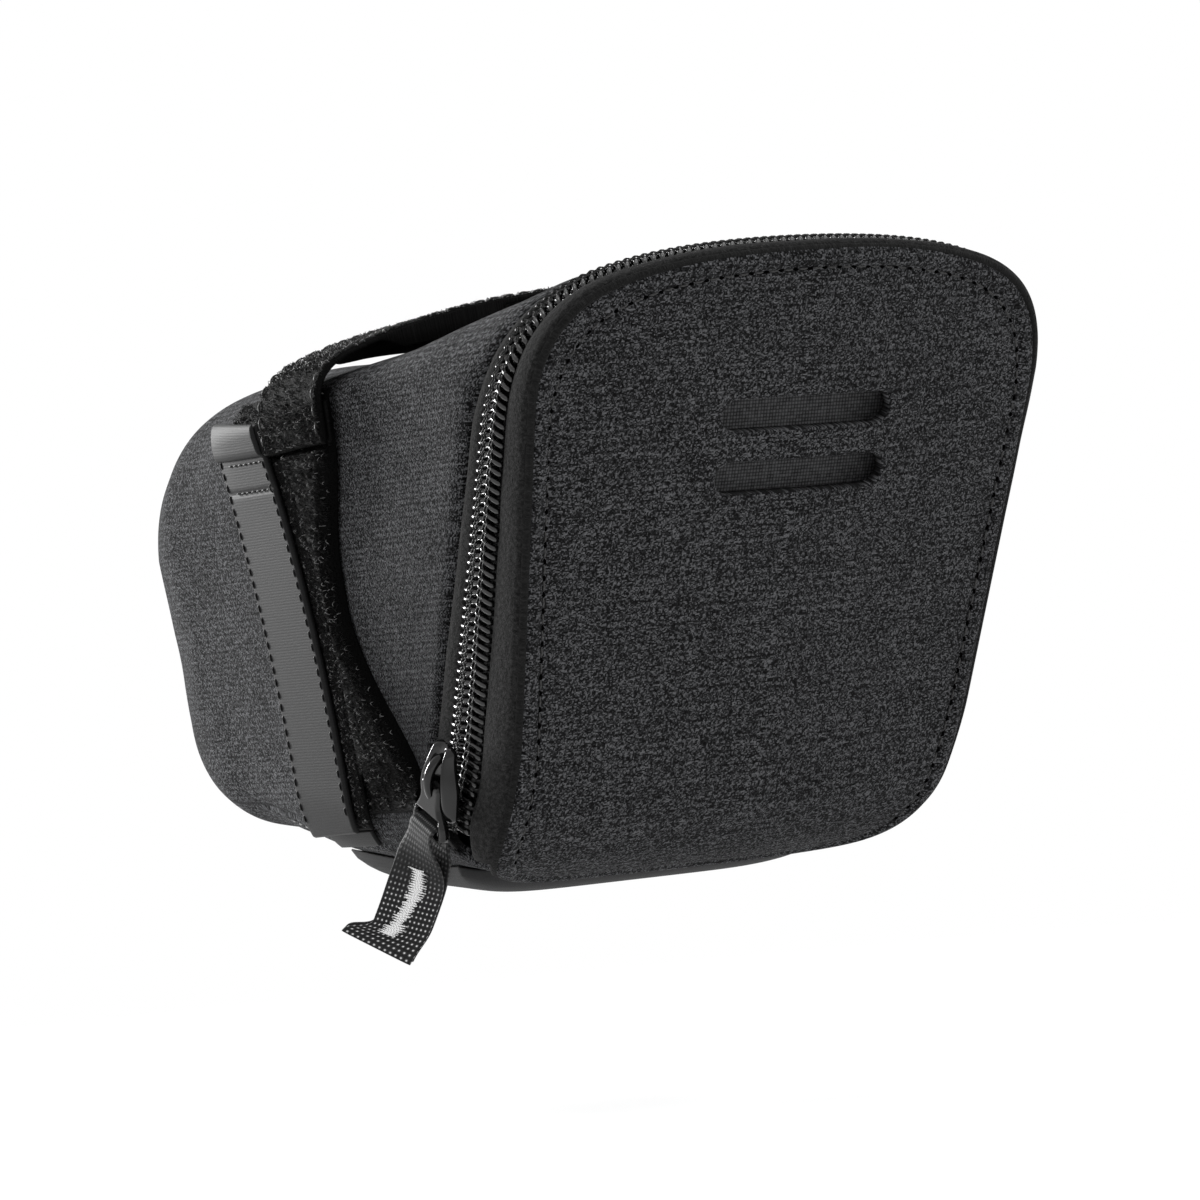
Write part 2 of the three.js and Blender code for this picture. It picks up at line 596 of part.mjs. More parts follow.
// The ribbon is threaded round the ring's lower bar; both legs hang, lean outwards and turn.
function ribbonSurface(lift) {
  const barY = PIVOT.y - PULLER.reach;
  const eye = RIBBON.gap / 2 + RIBBON.thick / 2;
  const arc = Math.PI * eye;
  const total = 2 * RIBBON.length + arc;
  return (a, b, depth) => {
    const along = b * total - RIBBON.length;
    let down = 0;
    let out = 0;
    let facing = 1;
    if (along < 0 || along > arc) {
      const back = along < 0;
      down = back ? -along : along - arc;
      facing = back ? -1 : 1;
      const close = 1 - 0.62 * THREE.MathUtils.smoothstep(down, 0, 0.4 * RIBBON.length);
      out = facing * (eye * close - (depth + lift));
    } else {
      const angle = Math.PI - (Math.PI * along) / arc;
      const reach = eye - (depth + lift);
      down = -reach * Math.sin(angle);
      out = reach * Math.cos(angle);
    }
    const share = Math.max(0, down) / RIBBON.length;
    const turn = RIBBON.twist * THREE.MathUtils.smoothstep(share, 0, 1);
    const width = THREE.MathUtils.lerp(RIBBON.eye, RIBBON.width, THREE.MathUtils.smoothstep(share, 0, 0.6));
    const side = (a - 0.5) * width;
    const x = side * Math.cos(turn) - out * Math.sin(turn);
    const z = side * Math.sin(turn) + out * Math.cos(turn) + RIBBON.lean * share ** 1.6;
    return new THREE.Vector3(x, barY - down, PIVOT.z + z).applyMatrix4(zipAxes);
  };
}

function addRibbon() {
  const half = RIBBON.thick / 2;
  const whole = { outer: -half, inner: half, columns: 2, rows: 32 };
  add('ribbon', sheet(ribbonSurface(0), whole), COLOURS.ribbon);
  const tack = { a: [0.33, 0.67], b: [0.7, 0.9], outer: -half - 0.3 - GAP, inner: -half - GAP, columns: 1, rows: 8 };
  add('ribbon_bartack', sheet(ribbonSurface(0), tack), COLOURS.thread);
}

addLid();
addShell();
addPatches();
addBasePad();
addSideStraps();
addRailStrap();
addPostStrap();
addSlider();
addRibbon();

export default bag;
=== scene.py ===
"""Saddle bag: its looks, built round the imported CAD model.

The frame is in metres: +Z up, +Y towards the seatpost (the nose), -Y to the zipped rear panel, +X the bag's
right. Shapes are worked out in millimetres, as the CAD's are, and turn into metres where a mesh is made.
"""
import math

import bpy
import numpy as np
from mathutils import Matrix, Vector, noise


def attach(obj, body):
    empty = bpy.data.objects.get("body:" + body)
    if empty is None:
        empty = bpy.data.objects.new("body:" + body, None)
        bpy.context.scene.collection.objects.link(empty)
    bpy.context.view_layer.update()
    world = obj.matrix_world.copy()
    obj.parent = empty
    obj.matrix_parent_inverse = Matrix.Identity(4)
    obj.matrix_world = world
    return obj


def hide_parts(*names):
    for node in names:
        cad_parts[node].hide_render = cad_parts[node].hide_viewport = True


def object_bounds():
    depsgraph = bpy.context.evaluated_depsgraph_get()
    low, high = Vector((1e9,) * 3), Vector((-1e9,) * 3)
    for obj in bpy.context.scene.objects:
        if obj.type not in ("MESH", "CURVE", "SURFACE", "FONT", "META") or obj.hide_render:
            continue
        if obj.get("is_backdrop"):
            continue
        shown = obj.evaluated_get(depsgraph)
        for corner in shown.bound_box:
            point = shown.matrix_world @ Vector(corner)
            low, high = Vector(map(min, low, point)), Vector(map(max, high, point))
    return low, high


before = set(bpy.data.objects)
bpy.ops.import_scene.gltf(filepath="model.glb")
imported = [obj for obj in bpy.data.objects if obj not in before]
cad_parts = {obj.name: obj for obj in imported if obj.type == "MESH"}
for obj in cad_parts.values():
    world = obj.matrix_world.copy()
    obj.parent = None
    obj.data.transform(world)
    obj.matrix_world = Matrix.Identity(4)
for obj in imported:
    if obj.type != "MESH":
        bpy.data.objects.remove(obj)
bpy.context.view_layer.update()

MM = 0.001
random_draw = np.random.default_rng(7)


# ---- small helpers ----
def lerp(low, high, share):
    return low + (high - low) * share


def smoothstep(x, low, high):
    share = np.clip((x - low) / (high - low), 0, 1)
    return share * share * (3 - 2 * share)


def stack(x, y, z):
    return np.stack(np.broadcast_arrays(x, y, z), -1).astype(float)


def unit(v):
    return v / np.maximum(np.linalg.norm(v, axis=-1, keepdims=True), 1e-9)


def shares(count):
    """Even steps from 0 to 1."""
    return np.linspace(0, 1, count)


def distance_along(path):
    """How far each point of a path is from its start, measured along it."""
    steps = np.linalg.norm(np.diff(path, axis=0), axis=-1)
    return np.concatenate([[0], np.cumsum(steps)])


def rounded(near):
    """A quarter round: 0 until near passes 0, and 1 where it reaches 1."""
    return 1 - np.sqrt(1 - np.clip(near, 0, 1) ** 2)


def ridge(x, middle, width):
    """A smooth rise to 1 at the middle."""
    return np.exp(-(((x - middle) / width) ** 2))


# ---- the bag's outlines: the same driving dimensions as the CAD's, in millimetres ----
SHOULDER_DROP, BROW_SHARE, FOOT_FLARE = 0.72, 0.54, 0.06


class Outline:
    """The right half of a section, from the middle of its foot up the side to the middle of its crown."""

    def __init__(self, width, top, foot, bottom, corner, foot_corner):
        self.width = width
        shoulder = np.array([width, top - SHOULDER_DROP * corner])
        brow = np.array([BROW_SHARE * width, top])
        turn = (shoulder + brow) / 2
        start = np.array([foot - foot_corner, bottom])
        rise = np.array([foot + FOOT_FLARE * foot_corner, bottom + foot_corner])
        below = np.array([width, shoulder[1] - corner])
        corners = [
            (np.array([0, bottom]), None, start),
            (start, np.array([foot, bottom]), rise),
            (rise, None, below),
            (below, shoulder, turn),
            (turn, brow, np.array([0, top])),
        ]
        share = shares(65)[:, None]
        parts = []
        for begin, bend, end in corners:
            middle = (begin + end) / 2 if bend is None else bend
            parts.append(begin * (1 - share) ** 2 + 2 * middle * share * (1 - share) + end * share**2)
        self.points = np.vstack(parts)
        length = distance_along(self.points)
        self.share = length / length[-1]

    def at(self, share):
        """The place, across and up, at this share of the outline's length."""
        x, height = (np.interp(share, self.share, self.points[:, k]) for k in range(2))
        return x, height

    def ring(self, turn):
        """Round the whole ring: 0 is the middle of the foot, 0.25 the left side, 0.5 the crown."""
        t = np.mod(turn, 1)
        left = t <= 0.5
        x, height = self.at(np.where(left, 2 * t, 2 * (1 - t)))
        return np.where(left, -x, x), height


SEAM_SIZES = dict(width=47.8, top=58.2, foot=41, bottom=-59.5, corner=14, foot_corner=22)
SEAM = Outline(**SEAM_SIZES)
FOLD = Outline(52.4, 64, 45.5, -52, 17, 17)
SECTIONS = [
    (Outline(52.4, -2, 46, -90.2, 4.5, 13), -7),
    (Outline(49.4, -2, 43.5, -87.6, 7, 15), 26),
]
NOSE = Outline(44.6, -0.4, 39, -83.8, 17, 18)
NOSE_Y, NOSE_LENGTH, NOSE_CENTRE_Z = 56, 52, -46
NOSE_DEGREES = (0, 18, 36, 54, 70, 82, 90)
LEAN, FOLD_LEAN = math.radians(22), math.radians(30)
SEAM_Y, FOLD_Y, WAIST_Z = -61, -37.2, -47
ROLL_RADIUS, ROLL_START = 20, -36
NOSE_SEAM = (len(SECTIONS) + 1) / (len(SECTIONS) + len(NOSE_DEGREES))
TENSION = 0.4
NUDGE = 1e-3
SKEW = dict(start=24, end=59.5, shift=4.5)
FOLD_RETURN = dict(start=34, end=52, depth=15)
PANEL_LEFT = 1.11
NOSE_TIP = 0.999
CLOTH = 1.8


def leaning(centre_y, x, height, depth, lean=LEAN):
    """Stands a point of a leaning section in space; depth goes into the bag."""
    y = centre_y - height * math.sin(lean) + depth * math.cos(lean)
    z = WAIST_Z + height * math.cos(lean) + depth * math.sin(lean)
    return stack(x, y, z)


def rolled(x, height, depth):
    """The same on the rear panel, whose foot rolls forward under the bag."""
    centre = leaning(SEAM_Y, 0, ROLL_START, ROLL_RADIUS)
    angle = LEAN + (ROLL_START - height) / ROLL_RADIUS
    reach = ROLL_RADIUS - depth
    foot = stack(x, centre[1] - reach * np.cos(angle), centre[2] - reach * np.sin(angle))
    upper = leaning(SEAM_Y, x, height, depth)
    return np.where((np.asarray(height) > ROLL_START)[..., None], upper, foot)


def skewed(x, height):
    """The foot of the panel and of the fold is set over to the left."""
    return x - SKEW["shift"] * smoothstep(-height, SKEW["start"], SKEW["end"])


def panel_place(x, height):
    """The rear panel reaches further to the left, where the zip closes, than to the right."""
    return skewed(np.where(x < 0, x * PANEL_LEFT, x), height)


def seam_ring(t):
    x, height = SEAM.ring(t)
    return rolled(panel_place(x, height), height, 0)


def fold_ring(t):
    x, height = FOLD.ring(t)
    point = leaning(FOLD_Y, skewed(x, height), height, 0, FOLD_LEAN)
    point[..., 1] -= FOLD_RETURN["depth"] * smoothstep(-height, FOLD_RETURN["start"], FOLD_RETURN["end"])
    return point


def nose_ring(t, degrees):
    x, height = NOSE.ring(t)
    shrink = math.cos(math.radians(degrees))
    reach = NOSE_Y + NOSE_LENGTH * math.sin(math.radians(degrees))
    return stack(x * shrink, reach, NOSE_CENTRE_Z + (height - NOSE_CENTRE_Z) * shrink)


def length_controls(t):
    """The points that the body's length lines pass through, from the fold to the tip of the nose."""
    rings = [fold_ring(t)]
    for outline, y in SECTIONS:
        x, height = outline.ring(t)
        rings.append(stack(x, y, height))
    return np.stack(rings + [nose_ring(t, degrees) for degrees in NOSE_DEGREES])


def smooth_line(controls, s):
    """A smooth curve through the control points, at share s of their count."""
    last = len(controls) - 1
    place = np.clip(s, 0, 1) * last
    k = np.minimum(place.astype(int), last - 1)
    w = (place - k)[..., None]
    before = 2 * controls[0] - controls[1]
    beyond = 2 * controls[-1] - controls[-2]
    padded = np.concatenate([before[None], controls, beyond[None]])
    p0, p1, p2, p3 = (np.take_along_axis(padded, (k + j)[None, ..., None], 0)[0] for j in range(4))
    t1, t2 = TENSION * (p2 - p0), TENSION * (p3 - p1)
    return p1 + t1 * w + (3 * (p2 - p1) - 2 * t1 - t2) * w**2 + (2 * (p1 - p2) + t1 + t2) * w**3


def body(t, s, depth):
    """The body's cloth at turn t and share s of its length."""
    t, s = np.broadcast_arrays(np.asarray(t, float), np.asarray(s, float))
    controls = length_controls(t)
    point = smooth_line(controls, s)
    along_s = smooth_line(controls, s + NUDGE) - smooth_line(controls, s - NUDGE)
    along_t = smooth_line(length_controls(t + NUDGE), s) - smooth_line(length_controls(t - NUDGE), s)
    normal = unit(np.cross(along_t, along_s))
    normal = np.where((s > NOSE_TIP)[..., None], np.array([0, 1.0, 0]), normal)
    return point - normal * np.asarray(depth)[..., None]


def body_at(t, y, depth):
    """The same surface, found by its distance y along the bag."""
    t, y = np.broadcast_arrays(np.asarray(t, float), np.asarray(y, float))
    controls = length_controls(t)
    low, high = np.zeros(t.shape), np.ones(t.shape)
    for _ in range(20):
        middle = (low + high) / 2
        short = smooth_line(controls, middle)[..., 1] < y
        low, high = np.where(short, middle, low), np.where(short, high, middle)
    return body(t, low, depth)


TABLE_TURNS = np.linspace(0.08, 0.46, 240)
TABLE_Y = np.linspace(-32, 62, 100)
HEIGHTS = body_at(*np.meshgrid(TABLE_TURNS, TABLE_Y), 0)[..., 2]


def turn_at(y, z):
    """The turn, on the left side, where the body at distance y has height z."""
    y, z = np.broadcast_arrays(np.asarray(y, float), np.asarray(z, float))
    place = (np.clip(y.ravel(), TABLE_Y[0], TABLE_Y[-1]) - TABLE_Y[0]) / (TABLE_Y[1] - TABLE_Y[0])
    k = np.minimum(place.astype(int), len(TABLE_Y) - 2)
    rows = lerp(HEIGHTS[k], HEIGHTS[k + 1], (place - k)[:, None])
    j = np.clip((rows < z.ravel()[:, None]).sum(1), 1, len(TABLE_TURNS) - 1)
    pick = np.arange(len(j))
    below, above = rows[pick, j - 1], rows[pick, j]
    share = np.clip((z.ravel() - below) / np.maximum(above - below, 1e-9), 0, 1)
    return lerp(TABLE_TURNS[j - 1], TABLE_TURNS[j], share).reshape(y.shape)


def band(t, s, depth):
    """The band between the panel's seam and the fold, which holds the zip."""
    t, s = np.broadcast_arrays(np.asarray(t, float), np.asarray(s, float))

    def between(turn):
        return lerp(seam_ring(turn), fold_ring(turn), s[..., None])

    along_s = fold_ring(t) - seam_ring(t)
    along_t = between(t + NUDGE) - between(t - NUDGE)
    return between(t) - unit(np.cross(along_t, along_s)) * np.asarray(depth)[..., None]


def nose_at(x, z, depth):
    """The nose's front, found by its place as seen from ahead."""

    def front(px, pz):
        direction = np.arctan2(np.abs(px), pz - NOSE_CENTRE_Z)
        edge_x, edge_z = NOSE.points[:, 0], NOSE.points[:, 1] - NOSE_CENTRE_Z
        bearing = np.arctan2(edge_x, edge_z)[::-1]
        edge = np.interp(direction, bearing, np.hypot(edge_x, edge_z)[::-1])
        share = np.hypot(px, pz - NOSE_CENTRE_Z) / edge
        return stack(px, NOSE_Y + NOSE_LENGTH * np.sqrt(np.maximum(0, 1 - share**2)), pz)

    step = 0.4
    along_x = front(x + step, z) - front(x - step, z)
    along_z = front(x, z + step) - front(x, z - step)
    return front(x, z) - unit(np.cross(along_x, along_z)) * np.asarray(depth)[..., None]


# ---- meshes ----
def make_mesh(name, points, faces, corner_weave):
    """A smooth-shaded object from points in millimetres; corner_weave is one (u, v) per face corner."""
    mesh = bpy.data.meshes.new(name)
    mesh.from_pydata((np.asarray(points) * MM).tolist(), [], faces)
    mesh.polygons.foreach_set("use_smooth", [True] * len(mesh.polygons))
    layer = mesh.uv_layers.new(name="weave")
    layer.data.foreach_set("uv", np.asarray(corner_weave, np.float32).ravel())
    mesh.validate()
    piece = bpy.data.objects.new(name, mesh)
    bpy.context.scene.collection.objects.link(piece)
    return piece


def cloth_distance(top):
    """How far each grid point is along and across the cloth, measured on its middle row and column."""
    v = distance_along(top[:, top.shape[1] // 2])
    u = distance_along(top[top.shape[0] // 2])
    return np.stack(np.meshgrid(u - u[-1] / 2, v), -1)


def slab(name, surface, a, b, outer, inner, keep=None, closed=False, weave=None):
    """A closed sheet of cloth: surface(a, b, depth) sampled on its two faces, and walled at its edges.

    outer and inner are the depths of its two faces, as numbers or functions of (a, b). keep marks the grid
    cells that are cloth, closed joins the last column to the first, and weave says where the cloth's
    pattern lies.
    """
    across, along = np.meshgrid(a, b)
    top = surface(across, along, outer(across, along) if callable(outer) else outer)
    under = surface(across, along, inner(across, along) if callable(inner) else inner)
    rows, columns = top.shape[:2]
    weave = cloth_distance(top) if weave is None else weave(across, along, top)
    index = np.arange(rows * columns).reshape(rows, columns)
    cells = np.stack([index[:-1, :-1], index[:-1, 1:], index[1:, 1:], index[1:, :-1]], -1)
    cells = cells[keep] if keep is not None else cells.reshape(-1, 4)
    edges = np.stack([cells, np.roll(cells, -1, 1)], -1).reshape(-1, 2)
    wrapped = index.copy()
    if closed:
        wrapped[:, -1] = wrapped[:, 0]
    wrapped = wrapped.ravel()
    ends = wrapped[edges]
    key = ends.min(1) * len(wrapped) + ends.max(1)
    _, where, count = np.unique(key, return_inverse=True, return_counts=True)
    rim = edges[count[where.ravel()] == 1]
    side = rows * columns
    walls = np.stack([rim[:, 1], rim[:, 0], rim[:, 0] + side, rim[:, 1] + side], 1)
    faces = np.concatenate([cells, cells[:, ::-1] + side, walls])
    corner_weave = weave.reshape(-1, 2)[faces % side]
    faces = np.where(faces < side, wrapped[faces % side], wrapped[faces % side] + side)
    used, compact = np.unique(faces, return_inverse=True)
    points = np.concatenate([top.reshape(-1, 3), under.reshape(-1, 3)])[used]
    faces = compact.reshape(-1, 4)
    if signed_volume(points, faces) < 0:
        faces, corner_weave = faces[:, ::-1], corner_weave[:, ::-1]
    return make_mesh(name, points, faces.tolist(), corner_weave)


def signed_volume(points, faces):
    corners = [points[faces[:, k]] for k in range(4)]
    halves = [(corners[0], corners[1], corners[2]), (corners[0], corners[2], corners[3])]
    return sum(float((np.cross(p, q) * r).sum()) for p, q, r in halves)


def strands(name, lines, hints, radii, sides=6):
    """Tubes along lines (strand, point, xyz); hints lie across the lines, and radii are one per point."""
    lines, hints = np.asarray(lines, float), np.broadcast_to(hints, np.shape(lines))
    count, length = lines.shape[:2]
    tangent = unit(np.gradient(lines, axis=1))
    side = unit(np.cross(tangent, hints))
    lift = np.cross(side, tangent)
    angle = np.arange(sides) * 2 * math.pi / sides
    spread = side[:, :, None] * np.cos(angle)[:, None] + lift[:, :, None] * np.sin(angle)[:, None]
    points = lines[:, :, None] + spread * np.asarray(radii, float).reshape(1, -1, 1, 1)
    index = np.arange(count * length * sides).reshape(count, length, sides)
    turned = np.roll(index, -1, 2)
    walls = np.stack([index[:, :-1], turned[:, :-1], turned[:, 1:], index[:, 1:]], -1).reshape(-1, 4)
    caps = index[:, 0, ::-1].tolist() + index[:, -1].tolist()
    weave = np.stack(np.meshgrid(np.arange(sides) / sides, distance_along(lines[0])), -1)
    weave = np.broadcast_to(weave, (count, length, sides, 2)).reshape(-1, 2)
    faces = walls.tolist() + caps
    corner_weave = np.concatenate([weave[walls].reshape(-1, 2), weave[np.array(caps)].reshape(-1, 2)])
    return make_mesh(name, points.reshape(-1, 3), faces, corner_weave)


def resampled(distances, known, vectors):
    """Vectors at these distances, where they are known at others."""
    return np.stack([np.interp(distances, known, vectors[:, k]) for k in range(3)], -1)


def sewn(name, surface, a, b, depth, **sizes):
    """Stitches along surface(a, b), where a or b is a line of values."""
    a, b = np.broadcast_arrays(np.asarray(a, float), np.asarray(b, float))
    path = surface(a, b, depth)
    normals = surface(a, b, depth - 1.0) - path
    return sewn_along(name, path, normals, **sizes)


def sewn_along(name, path, normals, stitch=2.0, gap=0.8, radius=0.2, sink=0.12, shift=0.0):
    """Stitches along a path: each thread rises out of the cloth and dips back into it."""
    known = distance_along(path)
    count = max(1, int(known[-1] / (stitch + gap)) - 1)
    share = shares(7)
    distances = (np.arange(count)[:, None] + 0.5 + shift) * (stitch + gap) + stitch * (share - 0.5)
    lines = resampled(distances, known, path)
    up = unit(resampled(distances, known, normals))
    arch = np.sin(math.pi * share) ** 0.6 * (radius + sink) - sink
    radii = radius * (0.55 + 0.45 * np.sin(math.pi * share))
    return strands(name, lines + up * arch[:, None], up, radii)


LOOPS_PER_GLINT = 9


def pile_on(body_name, name, surface, a, b, depth, count, **sizes):
    """Loop pile on a body's piece: mostly dark loops, and a few in a much brighter copy of the yarn, as
    painted glints.
    """
    place(pile(name, surface, a, b, depth, count, **sizes), body_name, "loops", "loop_pile")
    # Painted glints: every ninth loop is laid again in the bright, lit copy of the yarn.
    painted_glints = pile(f"{name}_in_light", surface, a, b, depth, count // LOOPS_PER_GLINT, **sizes)
    place(painted_glints, body_name, "painted_glints", "loop_pile")


def pile(name, surface, a, b, depth, count, height=0.7, radius=0.06):
    """Small loops of yarn standing on surface(a, b, depth)."""
    place_a = random_draw.uniform(*a, count)
    place_b = random_draw.uniform(*b, count)
    depth = depth(place_a, place_b) if callable(depth) else depth
    base = surface(place_a, place_b, depth)
    up = surface(place_a, place_b, depth - 1.0) - base
    spin = unit(np.cross(up, random_draw.normal(size=(count, 3))))
    share = shares(5)
    reach = random_draw.uniform(0.45, 1.0, (count, 1, 1))
    tall = height * random_draw.uniform(0.45, 1.0, (count, 1, 1))
    slant = spin * random_draw.normal(0, 0.25, (count, 1)) + up
    loop = np.sin(math.pi * share)[:, None]
    lines = base[:, None] + spin[:, None] * (share - 0.5)[:, None] * reach
    lines = lines + slant[:, None] * (loop * tall - 0.1)
    hints = unit(np.cross(up, spin))[:, None]
    return strands(name, lines, hints, np.full(5, radius), sides=3)


def place(piece, body_name, look, slot, *nodes):
    """Gives a piece its material and its body, and hides the CAD nodes that it stands for; slot is not used.
    """
    piece.data.materials.append(LOOKS[look])
    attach(piece, body_name)
    if nodes:
        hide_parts(*nodes)
    return piece


# ---- materials ----
class Look:
    """A node material with one short call per node. Lengths in its patterns are in millimetres of cloth."""

    def __init__(self, name, roughness, sheen=0.0, specular=0.5):
        self.material = bpy.data.materials.new(name)
        self.material.use_nodes = True
        self.tree = self.material.node_tree
        self.shader = self.tree.nodes["Principled BSDF"]
        self.shader.inputs["Roughness"].default_value = roughness
        self.shader.inputs["Sheen Weight"].default_value = sheen
        self.shader.inputs["Sheen Roughness"].default_value = 0.45
        self.shader.inputs["Specular IOR Level"].default_value = specular
        self.heights = None

    def node(self, kind, settings=None, **inputs):
        """A node with its settings and inputs; an input is named, or i and its number."""
        made = self.tree.nodes.new("ShaderNode" + kind)
        for key, value in (settings or {}).items():
            setattr(made, key, value)
        for key, value in inputs.items():
            socket = made.inputs[int(key[1:])] if key[0] == "i" and key[1:].isdigit() else made.inputs[key]
            if isinstance(value, bpy.types.NodeSocket):
                self.tree.links.new(value, socket)
            else:
                socket.default_value = value
        return made

    def math(self, operation, first, second=0.0, third=0.0):
        made = self.node("Math", {"operation": operation}, i0=first, i1=second, i2=third)
        return made.outputs[0]

    def times(self, value, factor):
        return self.math("MULTIPLY", value, factor)

    def total(self, *terms):
        """The sum of terms, each a value and its weight."""
        sum_so_far = self.times(*terms[0])
        for value, weight in terms[1:]:
            sum_so_far = self.math("ADD", sum_so_far, self.times(value, weight))
        return sum_so_far

    def weave(self):
        return self.node("UVMap", {"uv_map": "weave"}).outputs["UV"]

    def axes(self, vector):
        parts = self.node("SeparateXYZ", Vector=vector)
        return parts.outputs["X"], parts.outputs["Y"]

    def join(self, x, y, z=0.0):
        return self.node("CombineXYZ", X=x, Y=y, Z=z).outputs["Vector"]

    def noise(self, vector, scale, detail=2.0, rough=0.55):
        made = self.node("TexNoise", Vector=vector, Scale=scale, Detail=detail, Roughness=rough)
        return made.outputs["Fac"]

    def speck(self, x, y):
        """One random number for each cell of whole numbers."""
        cell = self.join(self.math("FLOOR", x), self.math("FLOOR", y))
        return self.node("TexWhiteNoise", {"noise_dimensions": "2D"}, Vector=cell).outputs["Value"]

    def wave(self, value):
        """0 at whole numbers and 1 halfway between them."""
        return self.math("ABSOLUTE", self.math("SINE", self.times(value, math.pi)))

    def ramp(self, value, stops):
        made = self.node("ValToRGB", Fac=value)
        ramp = made.color_ramp
        while len(ramp.elements) < len(stops):
            ramp.elements.new(0.5)
        for element, (position, colour) in zip(ramp.elements, stops):
            element.position = position
            element.color = (*colour, 1)
        return made.outputs["Color"]

    def mix(self, share, first, second):
        """A colour between two, each a socket or three numbers."""
        first, second = (c if isinstance(c, bpy.types.NodeSocket) else (*c, 1) for c in (first, second))
        made = self.node("Mix", {"data_type": "RGBA"}, i0=share, i6=first, i7=second)
        return made.outputs[2]

    def colour(self, value):
        if isinstance(value, bpy.types.NodeSocket):
            self.tree.links.new(value, self.shader.inputs["Base Color"])
        else:
            self.shader.inputs["Base Color"].default_value = (*value, 1)

    def roughness(self, value):
        self.tree.links.new(value, self.shader.inputs["Roughness"])

    def bump(self, height, distance_mm, strength=1.0):
        """Adds relief of this height; several calls build on each other."""
        inputs = {"Height": height, "Distance": distance_mm * MM, "Strength": strength}
        if self.heights is not None:
            inputs["Normal"] = self.heights
        self.heights = self.node("Bump", **inputs).outputs["Normal"]
        self.tree.links.new(self.heights, self.shader.inputs["Normal"])


def grey(level, tint=0.0):
    """A grey with a slight cool tint, as linear light."""
    return (level * (1 - tint), level * (1 - tint * 0.6), level * (1 + tint))


def woven_cloth(name, dark, middle, light, thread=0.23, rows=1.45, row_share=0.06):
    """Heather cloth: a fine plain weave of mixed dark and light yarns, with a heavier weft in rows."""
    look = Look(name, roughness=0.9, sheen=0.02, specular=0.05)
    u, v = look.axes(look.weave())
    wobble = look.noise(look.weave(), 0.9, 3.0)
    x = look.total((u, 1 / thread), (wobble, 3.0))
    y = look.total((v, 1 / thread), (wobble, 2.2))
    cell = look.speck(x, y)
    dash = look.speck(look.math("DIVIDE", x, 1.7), y)
    tuft = look.noise(look.weave(), 4.6, 4.0, 0.85)
    row = look.wave(look.math("DIVIDE", v, rows))
    patch = look.noise(look.weave(), 0.1, 3.0)
    tone = look.total((cell, 0.34), (dash, 0.2), (tuft, 0.66), (look.times(row, patch), row_share * 2))
    stops = [(0.46, grey(dark, 0.02)), (0.64, grey(middle, 0.04)), (0.86, grey(light, 0.03))]
    look.colour(look.ramp(tone, stops))
    look.bump(look.times(look.wave(x), look.wave(y)), 0.1, 0.6)
    look.bump(tone, 0.2, 0.7)
    look.bump(row, 0.1, 0.4)
    return look.material


def fleece_cloth(name, dark, light, blob=1.5):
    """Brushed knit with short curls."""
    look = Look(name, roughness=0.95, sheen=0.02, specular=0.08)
    curls = look.noise(look.weave(), blob, 3.0, 0.65)
    fine = look.noise(look.weave(), blob * 3.4, 2.0, 0.6)
    tone = look.total((curls, 0.6), (fine, 0.45))
    look.colour(look.ramp(tone, [(0.38, grey(dark)), (0.53, grey((dark + light) / 2.8)), (0.7, grey(light))]))
    look.bump(curls, 0.5, 0.9)
    look.bump(fine, 0.25, 0.7)
    return look.material


def yarn(name, level, roughness=0.55, twist=1.2, specular=0.25):
    """Sewing thread or cord with a visible twist."""
    look = Look(name, roughness=roughness, specular=specular)
    u, v = look.axes(look.weave())
    ply = look.wave(look.total((u, 2.0), (v, twist)))
    look.colour(look.mix(ply, grey(level * 0.6), grey(level)))
    look.bump(ply, 0.08, 0.8)
    return look.material


def pile_base(name, level, painted_glints=0.03):
    """The ground under loop or hook pile: a mat of tiny curls, a few of which carry a painted glint."""
    look = Look(name, roughness=0.7, specular=0.04)
    curls = look.node("TexVoronoi", {"feature": "F1"}, Vector=look.weave(), Scale=2.6).outputs["Distance"]
    fuzz = look.noise(look.weave(), 4.2, 4.0, 0.85)
    # Painted glints: the ramp's brightest stop lights the tops of the fuzz.
    stops = [(0.45, grey(level * 0.4)), (0.6, grey(level)), (0.72, grey(painted_glints))]
    look.colour(look.ramp(fuzz, stops))
    look.bump(curls, 0.35, 0.9)
    look.bump(fuzz, 0.35, 0.9)
    return look.material


def plastic(name, level, roughness, specular):
    """Nylon or lacquered metal with slight wear in its shine."""
    look = Look(name, roughness=roughness, specular=specular)
    wear = look.noise(look.node("TexCoord").outputs["Object"], 900.0, 3.0)
    look.colour(look.mix(wear, grey(level * 0.75), grey(level * 1.25)))
    look.roughness(look.math("ADD", look.times(wear, roughness * 0.5), roughness * 0.75))
    look.bump(wear, 0.02, 0.5)
    return look.material


# Painted highlight on the ribbon's rib crests: where it starts near the free tip, how fast it rises, its
# least share and how tightly it sits on the crests.
PAINTED_CREST_HIGHLIGHT = dict(start=38.0, rise=0.16, least=0.1, sharpness=9.0)


